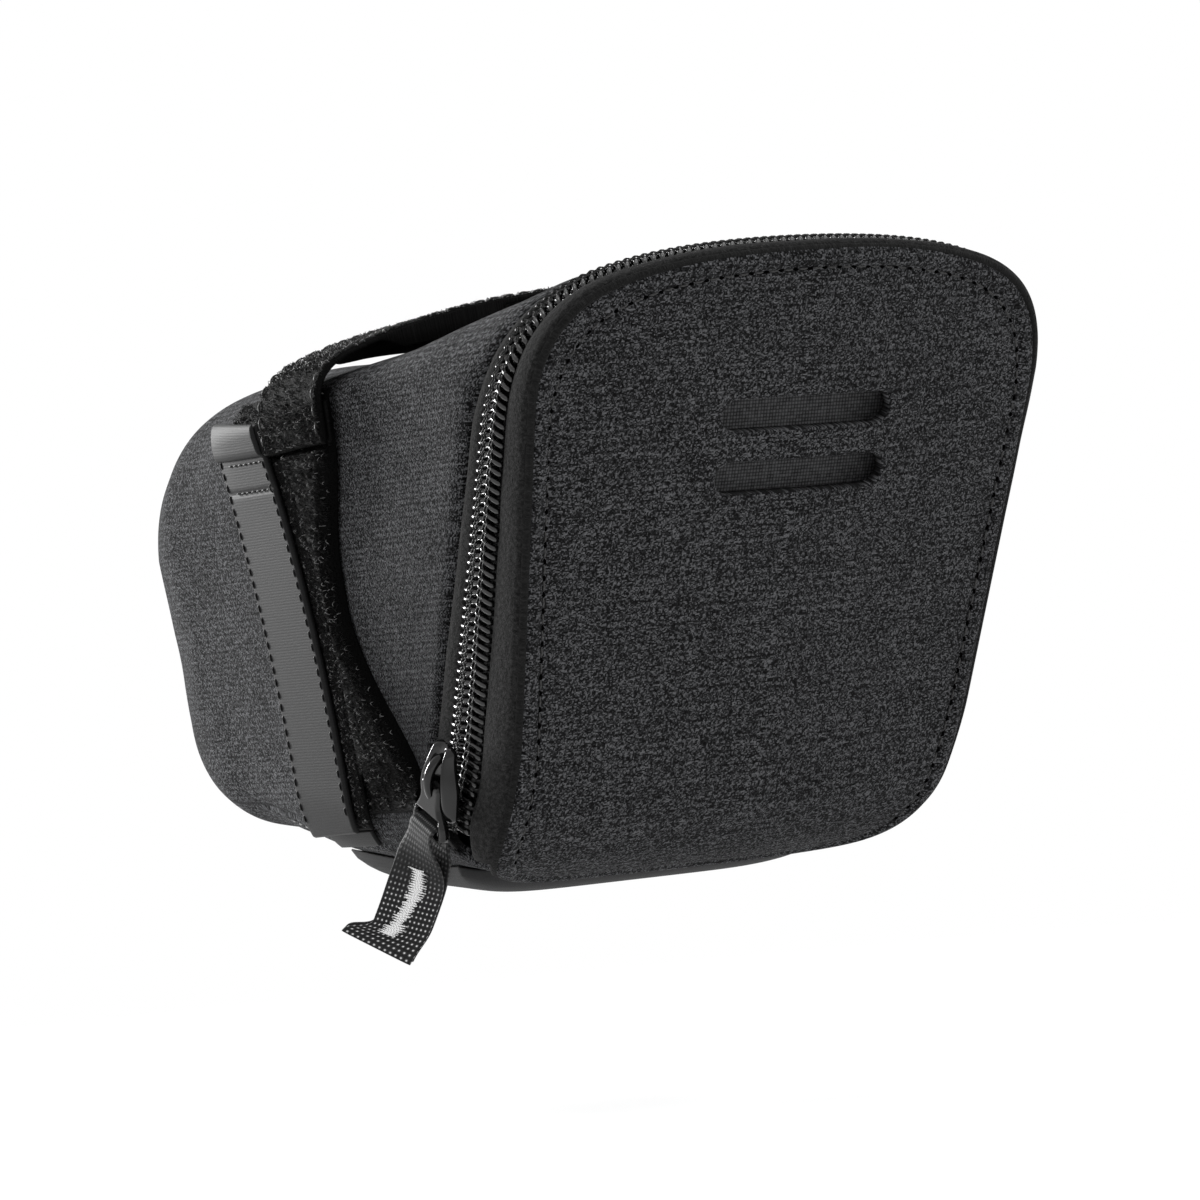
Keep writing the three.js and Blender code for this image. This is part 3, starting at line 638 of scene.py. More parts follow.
def ribbed_tape(name, dark, light, across, along, roughness=0.7, specular=0.15, relief=0.1, painted_crest_highlight=None):
    """Tape woven in ribs: across and along are its two pitches in millimetres.

    The last argument gives the brightness of a painted highlight on the ribs' crests, the knots, which shows
    towards the tape's free tip.
    """
    look = Look(name, roughness=roughness, sheen=0.02, specular=specular)
    u, v = look.axes(look.weave())
    x, y = look.math("DIVIDE", u, across), look.math("DIVIDE", v, along)
    knots = look.times(look.wave(x), look.wave(y))
    fuzz = look.noise(look.weave(), 3.0, 3.0, 0.7)
    tone = look.total((knots, 0.5), (look.speck(x, y), 0.22), (fuzz, 0.35))
    colour = look.ramp(tone, [(0.15, grey(dark, 0.01)), (0.85, grey(light, 0.02))])
    # Painted highlight: the rib crests brighten towards the tape's free tip.
    if painted_crest_highlight:
        tip = look.math("SUBTRACT", v, PAINTED_CREST_HIGHLIGHT["start"])
        near_tip = look.math("SMOOTH_MIN", look.times(tip, PAINTED_CREST_HIGHLIGHT["rise"]), 1.0, 0.1)
        shown = look.math("MAXIMUM", near_tip, PAINTED_CREST_HIGHLIGHT["least"])
        colour = look.mix(look.times(look.math("POWER", knots, PAINTED_CREST_HIGHLIGHT["sharpness"]), shown), colour, grey(painted_crest_highlight))
    look.colour(colour)
    look.bump(knots, relief, 0.8)
    look.bump(fuzz, 0.08, 0.6)
    return look.material


LOOKS = {
    "fabric": woven_cloth("heather_cloth", 0.001, 0.010, 0.10),
    "body": woven_cloth("body_heather_cloth", 0.001, 0.0095, 0.13, rows=1.0, row_share=0.08),
    "fleece": fleece_cloth("fleece", 0.002, 0.03),
    "lining": fleece_cloth("lining_knit", 0.03, 0.07, blob=2.6),
    "coil": plastic("zip_nylon", 0.004, 0.2, specular=0.6),
    "coil_thread": yarn("zip_thread", 0.012),
    "zip_tape": ribbed_tape("zip_tape", 0.003, 0.014, 0.5, 0.9),
    "metal": plastic("black_lacquer", 0.003, 0.14, specular=0.35),
    "thread": yarn("seam_thread", 0.03),
    # Painted shade: near-black, dull beads for the shade inside the needle's holes.
    "painted_hole_shade": yarn("painted_hole_shade", 0.001, roughness=1.0, specular=0.0),
    "white": yarn("white_thread", 0.8, roughness=0.6, twist=2.0),
    "binding": fleece_cloth("bound_seam", 0.003, 0.02, blob=2.2),
    "pile": pile_base("loop_ground", 0.003, painted_glints=0.015),
    "hook": pile_base("hook_ground", 0.006),
    "loops": yarn("loop_yarn", 0.005, roughness=0.4, specular=0.2),
    # Painted glint: a lit copy of the loop yarn, far brighter than the loops' own colour.
    "painted_glints": yarn("loop_yarn_in_light", 0.22, roughness=0.3, specular=0.8),
    "grey_tape": ribbed_tape("grey_tape", 0.007, 0.012, 0.5, 0.5, roughness=0.6, specular=0.1, relief=0.02),
    "grey_thread": yarn("tape_thread", 0.006),
    "webbing": ribbed_tape("clip_webbing", 0.003, 0.11, 0.6, 0.6, roughness=0.9),
    # The grosgrain carries the painted highlight on its rib crests.
    "ribbon": ribbed_tape("grosgrain", 0.003, 0.02, 0.55, 1.0, roughness=0.6, relief=0.06, painted_crest_highlight=0.7),
    "pad": ribbed_tape("pad_cloth", 0.014, 0.024, 0.3, 0.3, roughness=0.8, relief=0.04),
}

# ---- lid ----
PANEL_INSET = 0.5
PANEL_SWELL = 1.0
SLOT_GRID = 0.75
RIM = dict(width=1.5, drop=1.25, stitch=3.6, groove=0.3, groove_width=0.55)
SEAM_PADDING = dict(height=0.35, inside=1.9, width=1.2)
BILLOW = dict(height=0.45, across=30, up=26, seed=3.1)
SLOT = dict(length=31.5, height=5.6, upper=29.4, lower=18.6, shift=1.8, round=0.5, drop=0.3)
WEBBING = dict(width=40, height=27, outer=4.5, inner=5.5, sag=0.5)
LINING = dict(inset=8, outer=9.2, inner=10.4, quilting=0.4)


def inset_outline(inset):
    """The panel's outline, drawn in by this much."""
    sizes = {**SEAM_SIZES}
    for side in ("width", "top", "foot"):
        sizes[side] -= inset
    return Outline(**sizes)


def outline_distance(outline, x, height):
    """How far points of the panel are inside its outline."""
    right = outline.points[::3]
    edge = np.concatenate([right[::-1] * [-1, 1], right])
    start, step = edge[:-1], np.diff(edge, axis=0)
    length = np.maximum((step**2).sum(1), 1e-9)
    points = np.stack([x.ravel(), height.ravel()], 1)
    nearest = np.full(len(points), 1e9)
    for corner, way, size in zip(start, step, length):
        share = np.clip(((points - corner) @ way) / size, 0, 1)
        nearest = np.minimum(nearest, np.hypot(*(points - corner - share[:, None] * way).T))
    return nearest.reshape(x.shape)


def slot_distance(x, height):
    """How far points of the panel are outside the nearer slot; negative inside it."""
    reach = (SLOT["length"] - SLOT["height"]) / 2
    beyond = np.maximum(np.abs(x - SLOT["shift"]) - reach, 0)
    up = np.minimum(np.abs(height - SLOT["upper"]), np.abs(height - SLOT["lower"]))
    return np.hypot(beyond, up) - SLOT["height"] / 2


def pull_to_slots(x, height, spacing):
    """Moves the grid points just inside a slot onto its edge, so that the cut is smooth."""
    gap = slot_distance(x, height)
    step = 0.01
    slope_x = (slot_distance(x + step, height) - gap) / step
    slope_h = (slot_distance(x, height + step) - gap) / step
    near = (gap < 0) & (gap > -spacing)
    return np.where(near, x - gap * slope_x, x), np.where(near, height - gap * slope_h, height)


def panel_grid():
    """Shares across and up the panel, closer together at its rim and up its sides, where the slots are."""
    edge = 0.86
    near_edge = edge + (1 - edge) * np.sin(np.linspace(0, math.pi / 2, 22))
    half = np.concatenate([np.linspace(0, edge, 78), near_edge[1:]])
    foot = np.linspace(0.085, 0.22, 24)
    sides = np.linspace(0.22, 0.62, 150)
    crown = np.linspace(0.62, 1, 90)
    return np.concatenate([-half[:0:-1], half]), np.concatenate([foot[:-1], sides[:-1], crown])


def crowned(x):
    """How far the panel stands out in its middle."""
    return PANEL_SWELL * (1 - (x / SEAM.width) ** 2)


def panel_relief(outline, x, height):
    """How deep the panel's two faces are: rounded at the rim and the slots, pressed in along the stitches."""
    distance = outline_distance(outline, x, height)
    rim = RIM["drop"] * rounded(1 - distance / RIM["width"])
    groove = RIM["groove"] * ridge(distance, RIM["stitch"], RIM["groove_width"])
    padding = SEAM_PADDING["height"] * ridge(distance, SEAM_PADDING["inside"], SEAM_PADDING["width"])
    slot_edge = SLOT["drop"] * rounded(1 - slot_distance(x, height) / SLOT["round"])
    places = zip(x.ravel() / BILLOW["across"], height.ravel() / BILLOW["up"])
    billow = np.array([noise.noise(Vector((*flat, BILLOW["seed"]))) for flat in places]).reshape(x.shape)
    swell = crowned(x) + BILLOW["height"] * billow
    outer = rim + groove + slot_edge - padding - swell
    return outer, np.maximum(outer, -swell) + CLOTH


def rear_panel():
    """The rear panel's cloth, with its two slots cut out."""
    outline = inset_outline(PANEL_INSET)
    a, b = panel_grid()
    width, flat_height = outline.at(np.meshgrid(a, b)[1])
    x, height = pull_to_slots(width * a, flat_height, SLOT_GRID)
    inside = slot_distance(x, height) < -0.02
    cut = inside[:-1, :-1] | inside[1:, :-1] | inside[:-1, 1:] | inside[1:, 1:]
    outer, inner = panel_relief(outline, x, height)

    def surface(_, __, depth):
        return rolled(panel_place(x, height), height, depth)

    def weave(_, __, ___):
        return np.stack([x, height], -1)

    piece = slab("panel_cloth", surface, a, b, outer, inner, keep=~cut, weave=weave)
    place(piece, "lid", "fabric", "body_fabric", "lid_panel")


def panel_seam():
    """The row of stitches just inside the panel's rim, and dark beads of painted shade where the needle's
    holes lie between them.
    """
    x, height = inset_outline(PANEL_INSET + RIM["stitch"]).ring(np.linspace(0.108, 0.892, 500))
    depth = RIM["groove"] - crowned(x)
    line = rolled(panel_place(x, height), height, depth)
    out = rolled(panel_place(x, height), height, depth - 1) - line
    stitches = sewn_along("panel_stitches", line, out, stitch=2.0, gap=0.86)
    place(stitches, "lid", "thread", "body_fabric")
    # Painted shade: near-black beads where the needle's holes are, standing in for the shade inside them.
    sizes = dict(stitch=0.8, gap=2.06, radius=0.26, sink=0.05, shift=0.5)
    hole_shade = sewn_along("panel_painted_hole_shade", line, out, **sizes)
    place(hole_shade, "lid", "painted_hole_shade", "body_fabric")


def clip_webbing():
    """The webbing behind the slots, which a rear light's clip grips."""
    middle = (SLOT["upper"] + SLOT["lower"]) / 2
    width, height = WEBBING["width"], WEBBING["height"]

    def surface(a, b, depth):
        sag = WEBBING["sag"] * np.cos(math.pi * b)
        return leaning(SEAM_Y, SLOT["shift"] + width * a, middle + height * b, depth - sag)

    a, b = np.linspace(-0.5, 0.5, 90), np.linspace(-0.5, 0.5, 64)
    piece = slab("clip_webbing", surface, a, b, WEBBING["outer"], WEBBING["inner"])
    place(piece, "lid", "webbing", "clip_webbing", "lid_clip_webbing")


def lid_inside():
    """The panel's quilted lining."""
    outline = inset_outline(LINING["inset"])

    def surface(a, b, depth):
        width, height = outline.at(lerp(0.2, 1, b))
        return rolled(panel_place(width * a, height), height, depth)

    def quilted(a, b):
        return LINING["outer"] - LINING["quilting"] * np.cos(math.pi * a) * np.sin(math.pi * b)

    a, b = np.linspace(-1, 1, 60), np.linspace(0.12, 0.97, 70)
    piece = slab("lid_lining_cloth", surface, a, b, quilted, LINING["inner"])
    place(piece, "lid", "lining", "fleece_cloth", "lid_lining")


# ---- the zip's band ----
BAND_ARCH = (0.118, 0.882)
ZIP_ARCH = (0.132, 0.868)
CHAIN = 0.59
COIL_REAR, COIL_FRONT = (0.405, 0.6), (0.585, 0.775)
TAPE_REAR, TAPE_FRONT = (0.16, 0.56), (0.6, 0.96)
COIL_OUTER, COIL_INNER = -1.0, 1.1
COIL_PITCH = 1.64
COIL_WIRE = 0.46
COIL_STEPS, THREAD_STEPS = 18, 8


def wrinkle(point, size, seed):
    """Smooth noise between -1 and 1, whose folds are about size millimetres apart."""
    flat = point.reshape(-1, 3) / size
    return np.array([noise.noise(Vector(p) + Vector((seed, 0, 0))) for p in flat]).reshape(point.shape[:-1])


def band_cloth(name, body_name, span, cloth, slot, node, bulge):
    """Fleece along the zip: it bulges between its two seams and dips to meet them."""

    def surface(t, share, depth):
        return band(t, lerp(*span, share), depth)

    def outer(t, share):
        flat = surface(t, share, 0.0)
        dip = 1.1 * rounded(1 - np.minimum(share, 1 - share) / 0.16)
        low = smoothstep(-flat[..., 2], 60, 84)
        return dip - bulge * np.sin(math.pi * share) + 0.35 * wrinkle(flat, 9, 4) * (0.5 + 1.6 * low)

    piece = slab(name, surface, np.linspace(*BAND_ARCH, 420), shares(26), outer, 1.5)
    place(piece, body_name, cloth, slot, node)


def chain_turns(count):
    """Turns at equal steps along the closed chain, and its length."""
    turns = np.linspace(*ZIP_ARCH, 900)
    length = distance_along(band(turns, CHAIN, 0.0))
    return np.interp(np.linspace(0, length[-1], count), length, turns), length[-1]


def zip_coil(side, body_name, span, tape_span, phase, handed):
    """One half of the zip: a flattened coil of nylon, its sewing thread and the tape under it."""
    teeth = int(chain_turns(2)[1] / COIL_PITCH)
    turns, _ = chain_turns(teeth * COIL_STEPS + 1)
    angle = np.arange(len(turns)) * 2 * math.pi / COIL_STEPS + phase
    centre, reach = (span[0] + span[1]) / 2, (span[1] - span[0]) / 2
    thick = (COIL_INNER - COIL_OUTER) / 2 - COIL_WIRE
    depth = (COIL_INNER + COIL_OUTER) / 2 + thick * np.sin(angle)
    slant = handed * 0.24 * np.cos(angle) * np.gradient(turns) * COIL_STEPS
    line = band(turns + slant, centre + reach * np.cos(angle), depth)
    hint = unit(np.gradient(band(turns, centre, 0.0), axis=0))
    teeth_piece = strands(f"zip_teeth_{side}", line[None], hint[None], np.full(len(line), COIL_WIRE), sides=8)
    place(teeth_piece, body_name, "coil", "zip_coil", f"zip_coil_{side}")

    seam_share = lerp(*span, 0.5 + 0.08 * handed)
    dense, _ = chain_turns(teeth * THREAD_STEPS)
    wave = 0.5 + 0.5 * np.cos(np.arange(len(dense)) * 2 * math.pi / THREAD_STEPS + 0.8)
    over = COIL_OUTER - 0.12 + 0.3 * wave
    for row, shift in enumerate((-0.022, 0.022)):
        path = band(dense, seam_share + shift, over)
        out = unit(band(dense, seam_share + shift, over - 1) - path)
        thread = strands(f"zip_sewing_{side}_{row}", path[None], out[None], np.full(len(path), 0.13), sides=5)
        place(thread, body_name, "coil_thread", "zip_coil")

    a, b = np.linspace(*ZIP_ARCH, 320), np.linspace(*tape_span, 8)
    tape = slab(f"zip_tape_cloth_{side}", band, a, b, 1.35, 2.0)
    place(tape, body_name, "zip_tape", "zip_coil", f"zip_tape_{side}")


def seam_piping():
    """The cord in the seam round the rear panel."""
    turns = np.linspace(0.1, 0.9, 420)
    path = band(turns, 0.02, 1.0)
    out = band(turns, 0.02, 0.0) - path
    piece = strands("panel_seam_cord", path[None], out[None], np.full(len(path), 0.7), sides=10)
    place(piece, "lid", "binding", "binding", "lid_piping")


# ---- body ----
BODY_EDGE = dict(start=0.0045, step=0.0001, width=0.0075, drop=1.5)
BASE_SEAMS = dict(turns=(0.125, 0.875), width=0.003, depth=0.7)
STITCH_TURNS = dict(left=0.118, right=0.882)
SIDE_SAG = 0.5
WIDE_FOLDS = dict(size=26, height=0.8, seed=0)
FINE_FOLDS = dict(size=11, height=0.3, seed=5)


def folded(point, size, height, seed):
    return height * wrinkle(point, size, seed)


def body_cloth():
    """The bag's body: one lofted shell from the fold to the nose, which sags a little between its seams."""
    t = shares(421)
    first = BODY_EDGE["start"]
    step = np.arange(6)
    near_edge = first + BODY_EDGE["step"] * step * (step + 1)
    s = np.concatenate([near_edge, np.linspace(0.012, NOSE_TIP, 210)])

    def outer(turn, share):
        point = body(turn, share, 0.0)
        edge = BODY_EDGE["drop"] * rounded(1 - (share - first) / BODY_EDGE["width"])
        seams = sum(ridge(turn, seam, BASE_SEAMS["width"]) for seam in BASE_SEAMS["turns"])
        fade = 1 - smoothstep(share, NOSE_SEAM - 0.02, NOSE_SEAM + 0.06)
        side = smoothstep(np.abs(point[..., 0]), 30, 44)
        sag = SIDE_SAG * np.sin(math.pi * np.clip(share / NOSE_SEAM, 0, 1)) * side
        folds = folded(point, **WIDE_FOLDS) + folded(point, **FINE_FOLDS) - 0.4
        return edge + BASE_SEAMS["depth"] * seams * fade + sag + folds * (1 - smoothstep(share, 0.9, 1.0))

    def weave(turn, share, top):
        """The pattern runs along the bag, and across it on the top and the base or up it on the sides."""
        along = cloth_distance(top)[..., 1]
        from_crown = np.abs(turn - 0.5)
        level = (from_crown < 0.095) | (from_crown > 0.375)
        return np.stack([along, np.where(level, top[..., 0], top[..., 2])], -1)

    piece = slab("body_cloth", body, t, s, outer, CLOTH + 0.4, closed=True, weave=weave)
    nodes = ["shell_side_left", "shell_side_right", "shell_top", "shell_base", "shell_nose"]
    place(piece, "shell", "body", "body_fabric", *nodes)

    for side, turn in STITCH_TURNS.items():
        line = np.linspace(0.03, NOSE_SEAM, 120)
        seam = sewn(f"base_seam_stitches_{side}", body, turn, line, 0.2, stitch=2.4)
        place(seam, "shell", "thread", "body_fabric")


def base_binding():
    """The bound seam about which the rear panel folds down."""
    turns = np.linspace(-0.08, 0.08, 60)
    path = fold_ring(turns) + np.array([0, -2, 0.9])
    out = np.broadcast_to(np.array([0, 0, -1.0]), path.shape)
    piece = strands("base_binding", path[None], out[None], np.full(len(path), 1.15), sides=12)
    place(piece, "shell", "binding", "binding", "base_hinge_binding")


# ---- side patches, straps and pad ----
SIDE_STRAP = dict(width=20, top_y=23.5, foot_y=12, bend=2.2, top=-12, foot=-82, hem=5)
HEM_RISE, CROSS_SEAM = 0.9, 0.155
RAIL_STRAP = dict(width=23, leg=-17, rise=4.6, underside=4.15, arch=0.6, reach=47, hinge=-9)
DOUBLED = dict(start=(17, 21), end=(38, 43), slope=0.9, gap=0.8)
POST_STRAP = dict(z=-64, width=18, right=36, left=-18, tab=-34, tab_end=2)
STRAP_OUTER, STRAP_INNER = -3.9, -2.95
HOOK_OUTER, HOOK_INNER = -2.45, -1.85
PATCH = dict(outer=-1.3, inner=-0.55, rear=-10, top=-8, foot=-80)
PATCH_WAIST = dict(depth=5.5, start=0.1, end=0.42)
PATCH_FLARE = dict(depth=17, start=0.5, end=1)
RAISED_PILE = dict(height=2.3, ramp=(0.3, 2.2), rim=2.6, foot=(-78, -70))
HOOK_MARGIN = 4.4
BASE_PAD = dict(rear=-17, front=29, edge=0.105, swell=4.2, outer=1.8)


def side_strap_middle(z):
    """How far forward the middle of a grey side strap is at height z."""
    down = np.clip((z - SIDE_STRAP["top"]) / (SIDE_STRAP["foot"] - SIDE_STRAP["top"]), 0, 1)
    return lerp(SIDE_STRAP["foot_y"], SIDE_STRAP["top_y"], (1 - down) ** SIDE_STRAP["bend"])


def patch_place(a, b):
    """Where a point of a side patch is: how far forward, how high, and how far inside its rear edge."""
    z = lerp(PATCH["top"], PATCH["foot"], b)
    waist = PATCH_WAIST["depth"] * smoothstep(b, PATCH_WAIST["start"], PATCH_WAIST["end"])
    flare = PATCH_FLARE["depth"] * smoothstep(b, PATCH_FLARE["start"], PATCH_FLARE["end"])
    rear = PATCH["rear"] + waist - flare
    y = lerp(rear, side_strap_middle(z) + SIDE_STRAP["width"] / 2 - 1, a)
    return y, z, y - rear


def patch_surface(a, b, depth):
    """The left side patch, as shares across and down it."""
    y, z, _ = patch_place(a, b)
    return body_at(turn_at(y, z), y, depth)


def patch_depth(a, b):
    """The pile stands as high as the rail strap that lies above it, except where the straps' hooks are."""
    y, z, inside = patch_place(a, b)
    hook_edge = side_strap_middle(z) - SIDE_STRAP["width"] / 2 - HOOK_MARGIN
    behind_hooks = smoothstep(hook_edge - y, *RAISED_PILE["ramp"])
    off_rim = np.sqrt(np.clip(inside / RAISED_PILE["rim"], 0, 1))
    below_leg = smoothstep(RAIL_STRAP["leg"] - 0.5 - z, 0, 0.4)
    above_foot = smoothstep(z, *RAISED_PILE["foot"])
    return PATCH["outer"] - RAISED_PILE["height"] * behind_hooks * off_rim * below_leg * above_foot


def on_side(side, surface):
    """A surface of the left side, or its mirror image on the right."""
    across = 1 if side == "left" else -1

    def turned(a, b, depth):
        return surface(a, b, depth) * np.array([across, 1, 1])

    return turned


def edge_round(a, b, radius_a, radius_b, drop):
    """How much a slab's outer face drops towards its edges; radii are shares of its two sides."""
    near = np.maximum(1 - np.minimum(a, 1 - a) / radius_a, 1 - np.minimum(b, 1 - b) / radius_b)
    return drop * rounded(near)


def side_patch(side):
    """A patch of loop pile down one side."""
    surface = on_side(side, patch_surface)

    def outer(a, b):
        return patch_depth(a, b) + edge_round(a, b, 0.015, 0.01, 0.5)

    piece = slab(f"loop_ground_{side}", surface, shares(90), shares(150), outer, PATCH["inner"])
    place(piece, "shell", "pile", "loop_pile", f"loop_patch_{side}")
    pile_on("shell", f"loop_pile_{side}", surface, (0.01, 0.99), (0.01, 0.99), patch_depth, 7500)


def base_pad():
    """The padded patch under the rear half of the bag."""

    def surface(a, b, depth):
        turn = lerp(-BASE_PAD["edge"], BASE_PAD["edge"], a)
        return body_at(turn, lerp(BASE_PAD["rear"], BASE_PAD["front"], b), depth)

    def outer(a, b):
        crown = (1 - (2 * a - 1) ** 6) * (1 - (2 * b - 1) ** 6)
        return -BASE_PAD["outer"] - BASE_PAD["swell"] * crown + edge_round(a, b, 0.04, 0.06, 1.2)

    piece = slab("base_pad_cloth", surface, shares(70), shares(44), outer, -0.3)
    place(piece, "shell", "pad", "pad_cloth", "base_pad")


def side_strap_surface(top, foot, wider=0.0):
    """A stretch of the left grey strap between two heights, which may reach further to the rear."""

    def surface(a, b, depth):
        z = lerp(top, foot, b)
        y = side_strap_middle(z) + SIDE_STRAP["width"] * (a - 0.5) - wider * (1 - a)
        return body_at(turn_at(y, z), y, depth)

    return surface


def side_strap(side):
    """A grey strap: its tape, the hooks under it, its turned hem and its sewn foot, with rows of stitches."""
    top, foot, hem = SIDE_STRAP["top"], SIDE_STRAP["foot"], SIDE_STRAP["hem"]
    body_name = f"side_strap_{side}"
    a = shares(60)

    def stretch(start, end, wider=0.0):
        return on_side(side, side_strap_surface(start, end, wider))

    def outer(across, along):
        crease = 0.28 * ridge(along, CROSS_SEAM, 0.006)
        return STRAP_OUTER + edge_round(across, along, 0.025, 0.006, 0.4) + crease

    def hook_face(across, along):
        return HOOK_OUTER + edge_round(across, along, 0.02, 0.01, 0.3)

    def hem_face(across, along):
        return STRAP_OUTER - HEM_RISE + edge_round(across, along, 0.03, 0.3, 0.6)

    tape = stretch(top, foot)
    piece = slab(f"grey_tape_{side}", tape, a, shares(190), outer, STRAP_INNER)
    place(piece, body_name, "grey_tape", "grey_tape", f"side_strap_tape_{side}")

    hook = stretch(top - hem - 1, foot, wider=HOOK_MARGIN - 0.5)
    piece = slab(f"hook_tape_{side}", hook, a, shares(190), hook_face, HOOK_INNER)
    place(piece, body_name, "hook", "hook_tape", f"side_strap_hook_{side}")
    pile_on(body_name, f"hook_pile_{side}", hook, (0.01, 0.16), (0.01, 0.99), HOOK_OUTER, 1500, height=0.5)

    piece = slab(f"tape_hem_{side}", stretch(top, top - hem), a, shares(24), hem_face, STRAP_OUTER - 0.25)
    place(piece, body_name, "grey_tape", "grey_tape", f"side_strap_hem_{side}")

    tail = stretch(foot - 0.6, foot - 3)
    piece = slab(f"tape_foot_{side}", tail, a, shares(12), PATCH["outer"], PATCH["inner"])
    place(piece, "shell", "grey_tape", "grey_tape", f"side_strap_anchor_{side}")

    down, over = np.linspace(0.02, 0.995, 200), np.linspace(0.04, 0.96, 40)
    rows = dict(front=(0.955, down), rear=(0.05, down), hem=(over, 0.085), cross=(over, CROSS_SEAM))
    sizes = dict(stitch=1.6, gap=0.6, radius=0.17)
    for row, (across, along) in rows.items():
        seam = sewn(f"tape_stitches_{row}_{side}", tape, across, along, STRAP_OUTER, **sizes)
        place(seam, body_name, "grey_thread", "grey_tape")


def tunnel_arch(x):
    """How far the rail strap rises clear of the bag's top: 1 in the middle, 0 at the shoulders."""
    return 0.5 + 0.5 * np.cos(math.pi * np.minimum(1, np.abs(x) / RAIL_STRAP["reach"]))


def rail_strap_surface(start, end):
    def surface(a, b, depth):
        y = RAIL_STRAP["width"] * (a - 0.5)
        point = body_at(lerp(start, end, b), y, depth)
        rise = np.where(np.asarray(depth) < STRAP_INNER - 0.3, RAIL_STRAP["rise"], RAIL_STRAP["underside"])
        point[..., 2] += rise * tunnel_arch(point[..., 0]) ** RAIL_STRAP["arch"]
        return point

    return surface


def rail_strap():
    """The strap over the top, which goes round the saddle's rails, with its hooks and its sewn end."""
    leg = float(turn_at(0, RAIL_STRAP["leg"]))
    hinge = 1 - float(turn_at(0, RAIL_STRAP["hinge"]))
    a = shares(50)

    def outer(across, along):
        return STRAP_OUTER + edge_round(across, along, 0.03, 0.006, 0.5)

    over = rail_strap_surface(leg, hinge)

    def inner(across, along):
        """The strap is doubled towards its shoulders, down to just above the bag's top."""
        x = np.abs(over(across, along, STRAP_INNER)[..., 0])
        lift = RAIL_STRAP["underside"] * tunnel_arch(x)
        doubled = smoothstep(x, *DOUBLED["start"]) * (1 - smoothstep(x, *DOUBLED["end"]))
        return lerp(STRAP_INNER, lift * DOUBLED["slope"] - DOUBLED["gap"], doubled)

    piece = slab("rail_strap_ground", over, a, shares(260), outer, inner)
    place(piece, "rail_strap", "pile", "loop_pile", "rail_strap")
    pile_on("rail_strap", "rail_strap_pile", over, (0.01, 0.99), (0.003, 0.997), STRAP_OUTER, 8000)
    for edge in (0.05, 0.95):
        name = f"rail_strap_stitches_{int(edge * 100):02d}"
        seam = sewn(name, over, edge, np.linspace(0.01, 0.99, 300), STRAP_OUTER - 0.15, stitch=2.2)
        place(seam, "rail_strap", "thread", "loop_pile")

    grip = rail_strap_surface(leg, float(turn_at(0, PATCH["top"] - 2)))
    piece = slab("rail_strap_hooks", grip, a, shares(40), HOOK_OUTER, HOOK_INNER)
    place(piece, "rail_strap", "hook", "hook_tape", "rail_strap_hook")
    root = rail_strap_surface(hinge + 0.004, 1 - leg)
    piece = slab("rail_strap_sewn_end", root, a, shares(60), outer, HOOK_INNER)
    place(piece, "shell", "pile", "loop_pile", "rail_strap_root")
    pile_on("shell", "rail_strap_end_pile", root, (0.01, 0.99), (0.02, 0.98), STRAP_OUTER, 1400)


def post_strap():
    """The strap on the nose, which goes round the seatpost, and the tab that it closes on."""
    def surface(start, end):
        def at(a, b, depth):
            z = POST_STRAP["z"] + POST_STRAP["width"] * (a - 0.5)
            return nose_at(lerp(start, end, b), z, depth)

        return at

    def strap_face(a, b):
        return STRAP_OUTER + edge_round(a, b, 0.03, 0.02, 0.5)

    def tab_face(a, b):
        return PATCH["outer"] + edge_round(a, b, 0.03, 0.02, 0.5)

    a = shares(40)
    strap = surface(POST_STRAP["left"], POST_STRAP["right"])
    piece = slab("post_strap_ground", strap, a, shares(110), strap_face, STRAP_INNER)
    place(piece, "post_strap", "pile", "loop_pile", "post_strap")
    pile_on("post_strap", "post_strap_pile", strap, (0.02, 0.98), (0.01, 0.99), STRAP_OUTER, 2400)
    hooks = surface(POST_STRAP["left"], POST_STRAP["tab_end"])
    piece = slab("post_strap_hooks", hooks, a, shares(40), HOOK_OUTER, HOOK_INNER)
    place(piece, "post_strap", "hook", "hook_tape", "post_strap_hook")
    tab = surface(POST_STRAP["tab"], POST_STRAP["tab_end"])
    piece = slab("post_tab_ground", tab, a, shares(70), tab_face, PATCH["inner"])
    place(piece, "shell", "pile", "loop_pile", "post_strap_tab")
    pile_on("shell", "post_tab_pile", tab, (0.02, 0.98), (0.01, 0.99), PATCH["outer"], 1500)


# ---- slider, puller and ribbon, in the zip's own axes: x rearward, y up the zip, z outwards ----
SLIDER_TURN, LEG = 0.158, (0.17, 0.32)

chain_middle = band(SLIDER_TURN, CHAIN, 0.0)
up_zip = unit(band(LEG[1], CHAIN, 0.0) - band(LEG[0], CHAIN, 0.0))
out_of_zip = unit(np.cross(up_zip, band(SLIDER_TURN, 1.0, 0.0) - band(SLIDER_TURN, 0.0, 0.0)))
rear_of_zip = np.cross(up_zip, out_of_zip)
ZIP_AXES = np.stack([rear_of_zip, up_zip, out_of_zip])


def from_zip(points):
    return chain_middle + np.asarray(points, float) @ ZIP_AXES


PLATE = dict(width=10.4, foot=-6, head=7, thick=1.2, outer=2.9, inner=-3.4, lobe=1.7)
NECK = dict(y=-3.6, radius=0.7)
BRIDGE = dict(foot=-3.2, head=4.6, clear=0.9, rise=2.6, radius=0.85)
PIVOT_Y, PIVOT_Z = -0.6, 5.4
PULLER_REACH = 8
RIBBON = dict(eye=7, width=10, length=23.5, thick=0.8, gap=2.6, lean=6, twist=math.radians(-38), rib=1.0)
TACK = dict(strokes=30, start=0.68, end=0.92, reach=0.18)


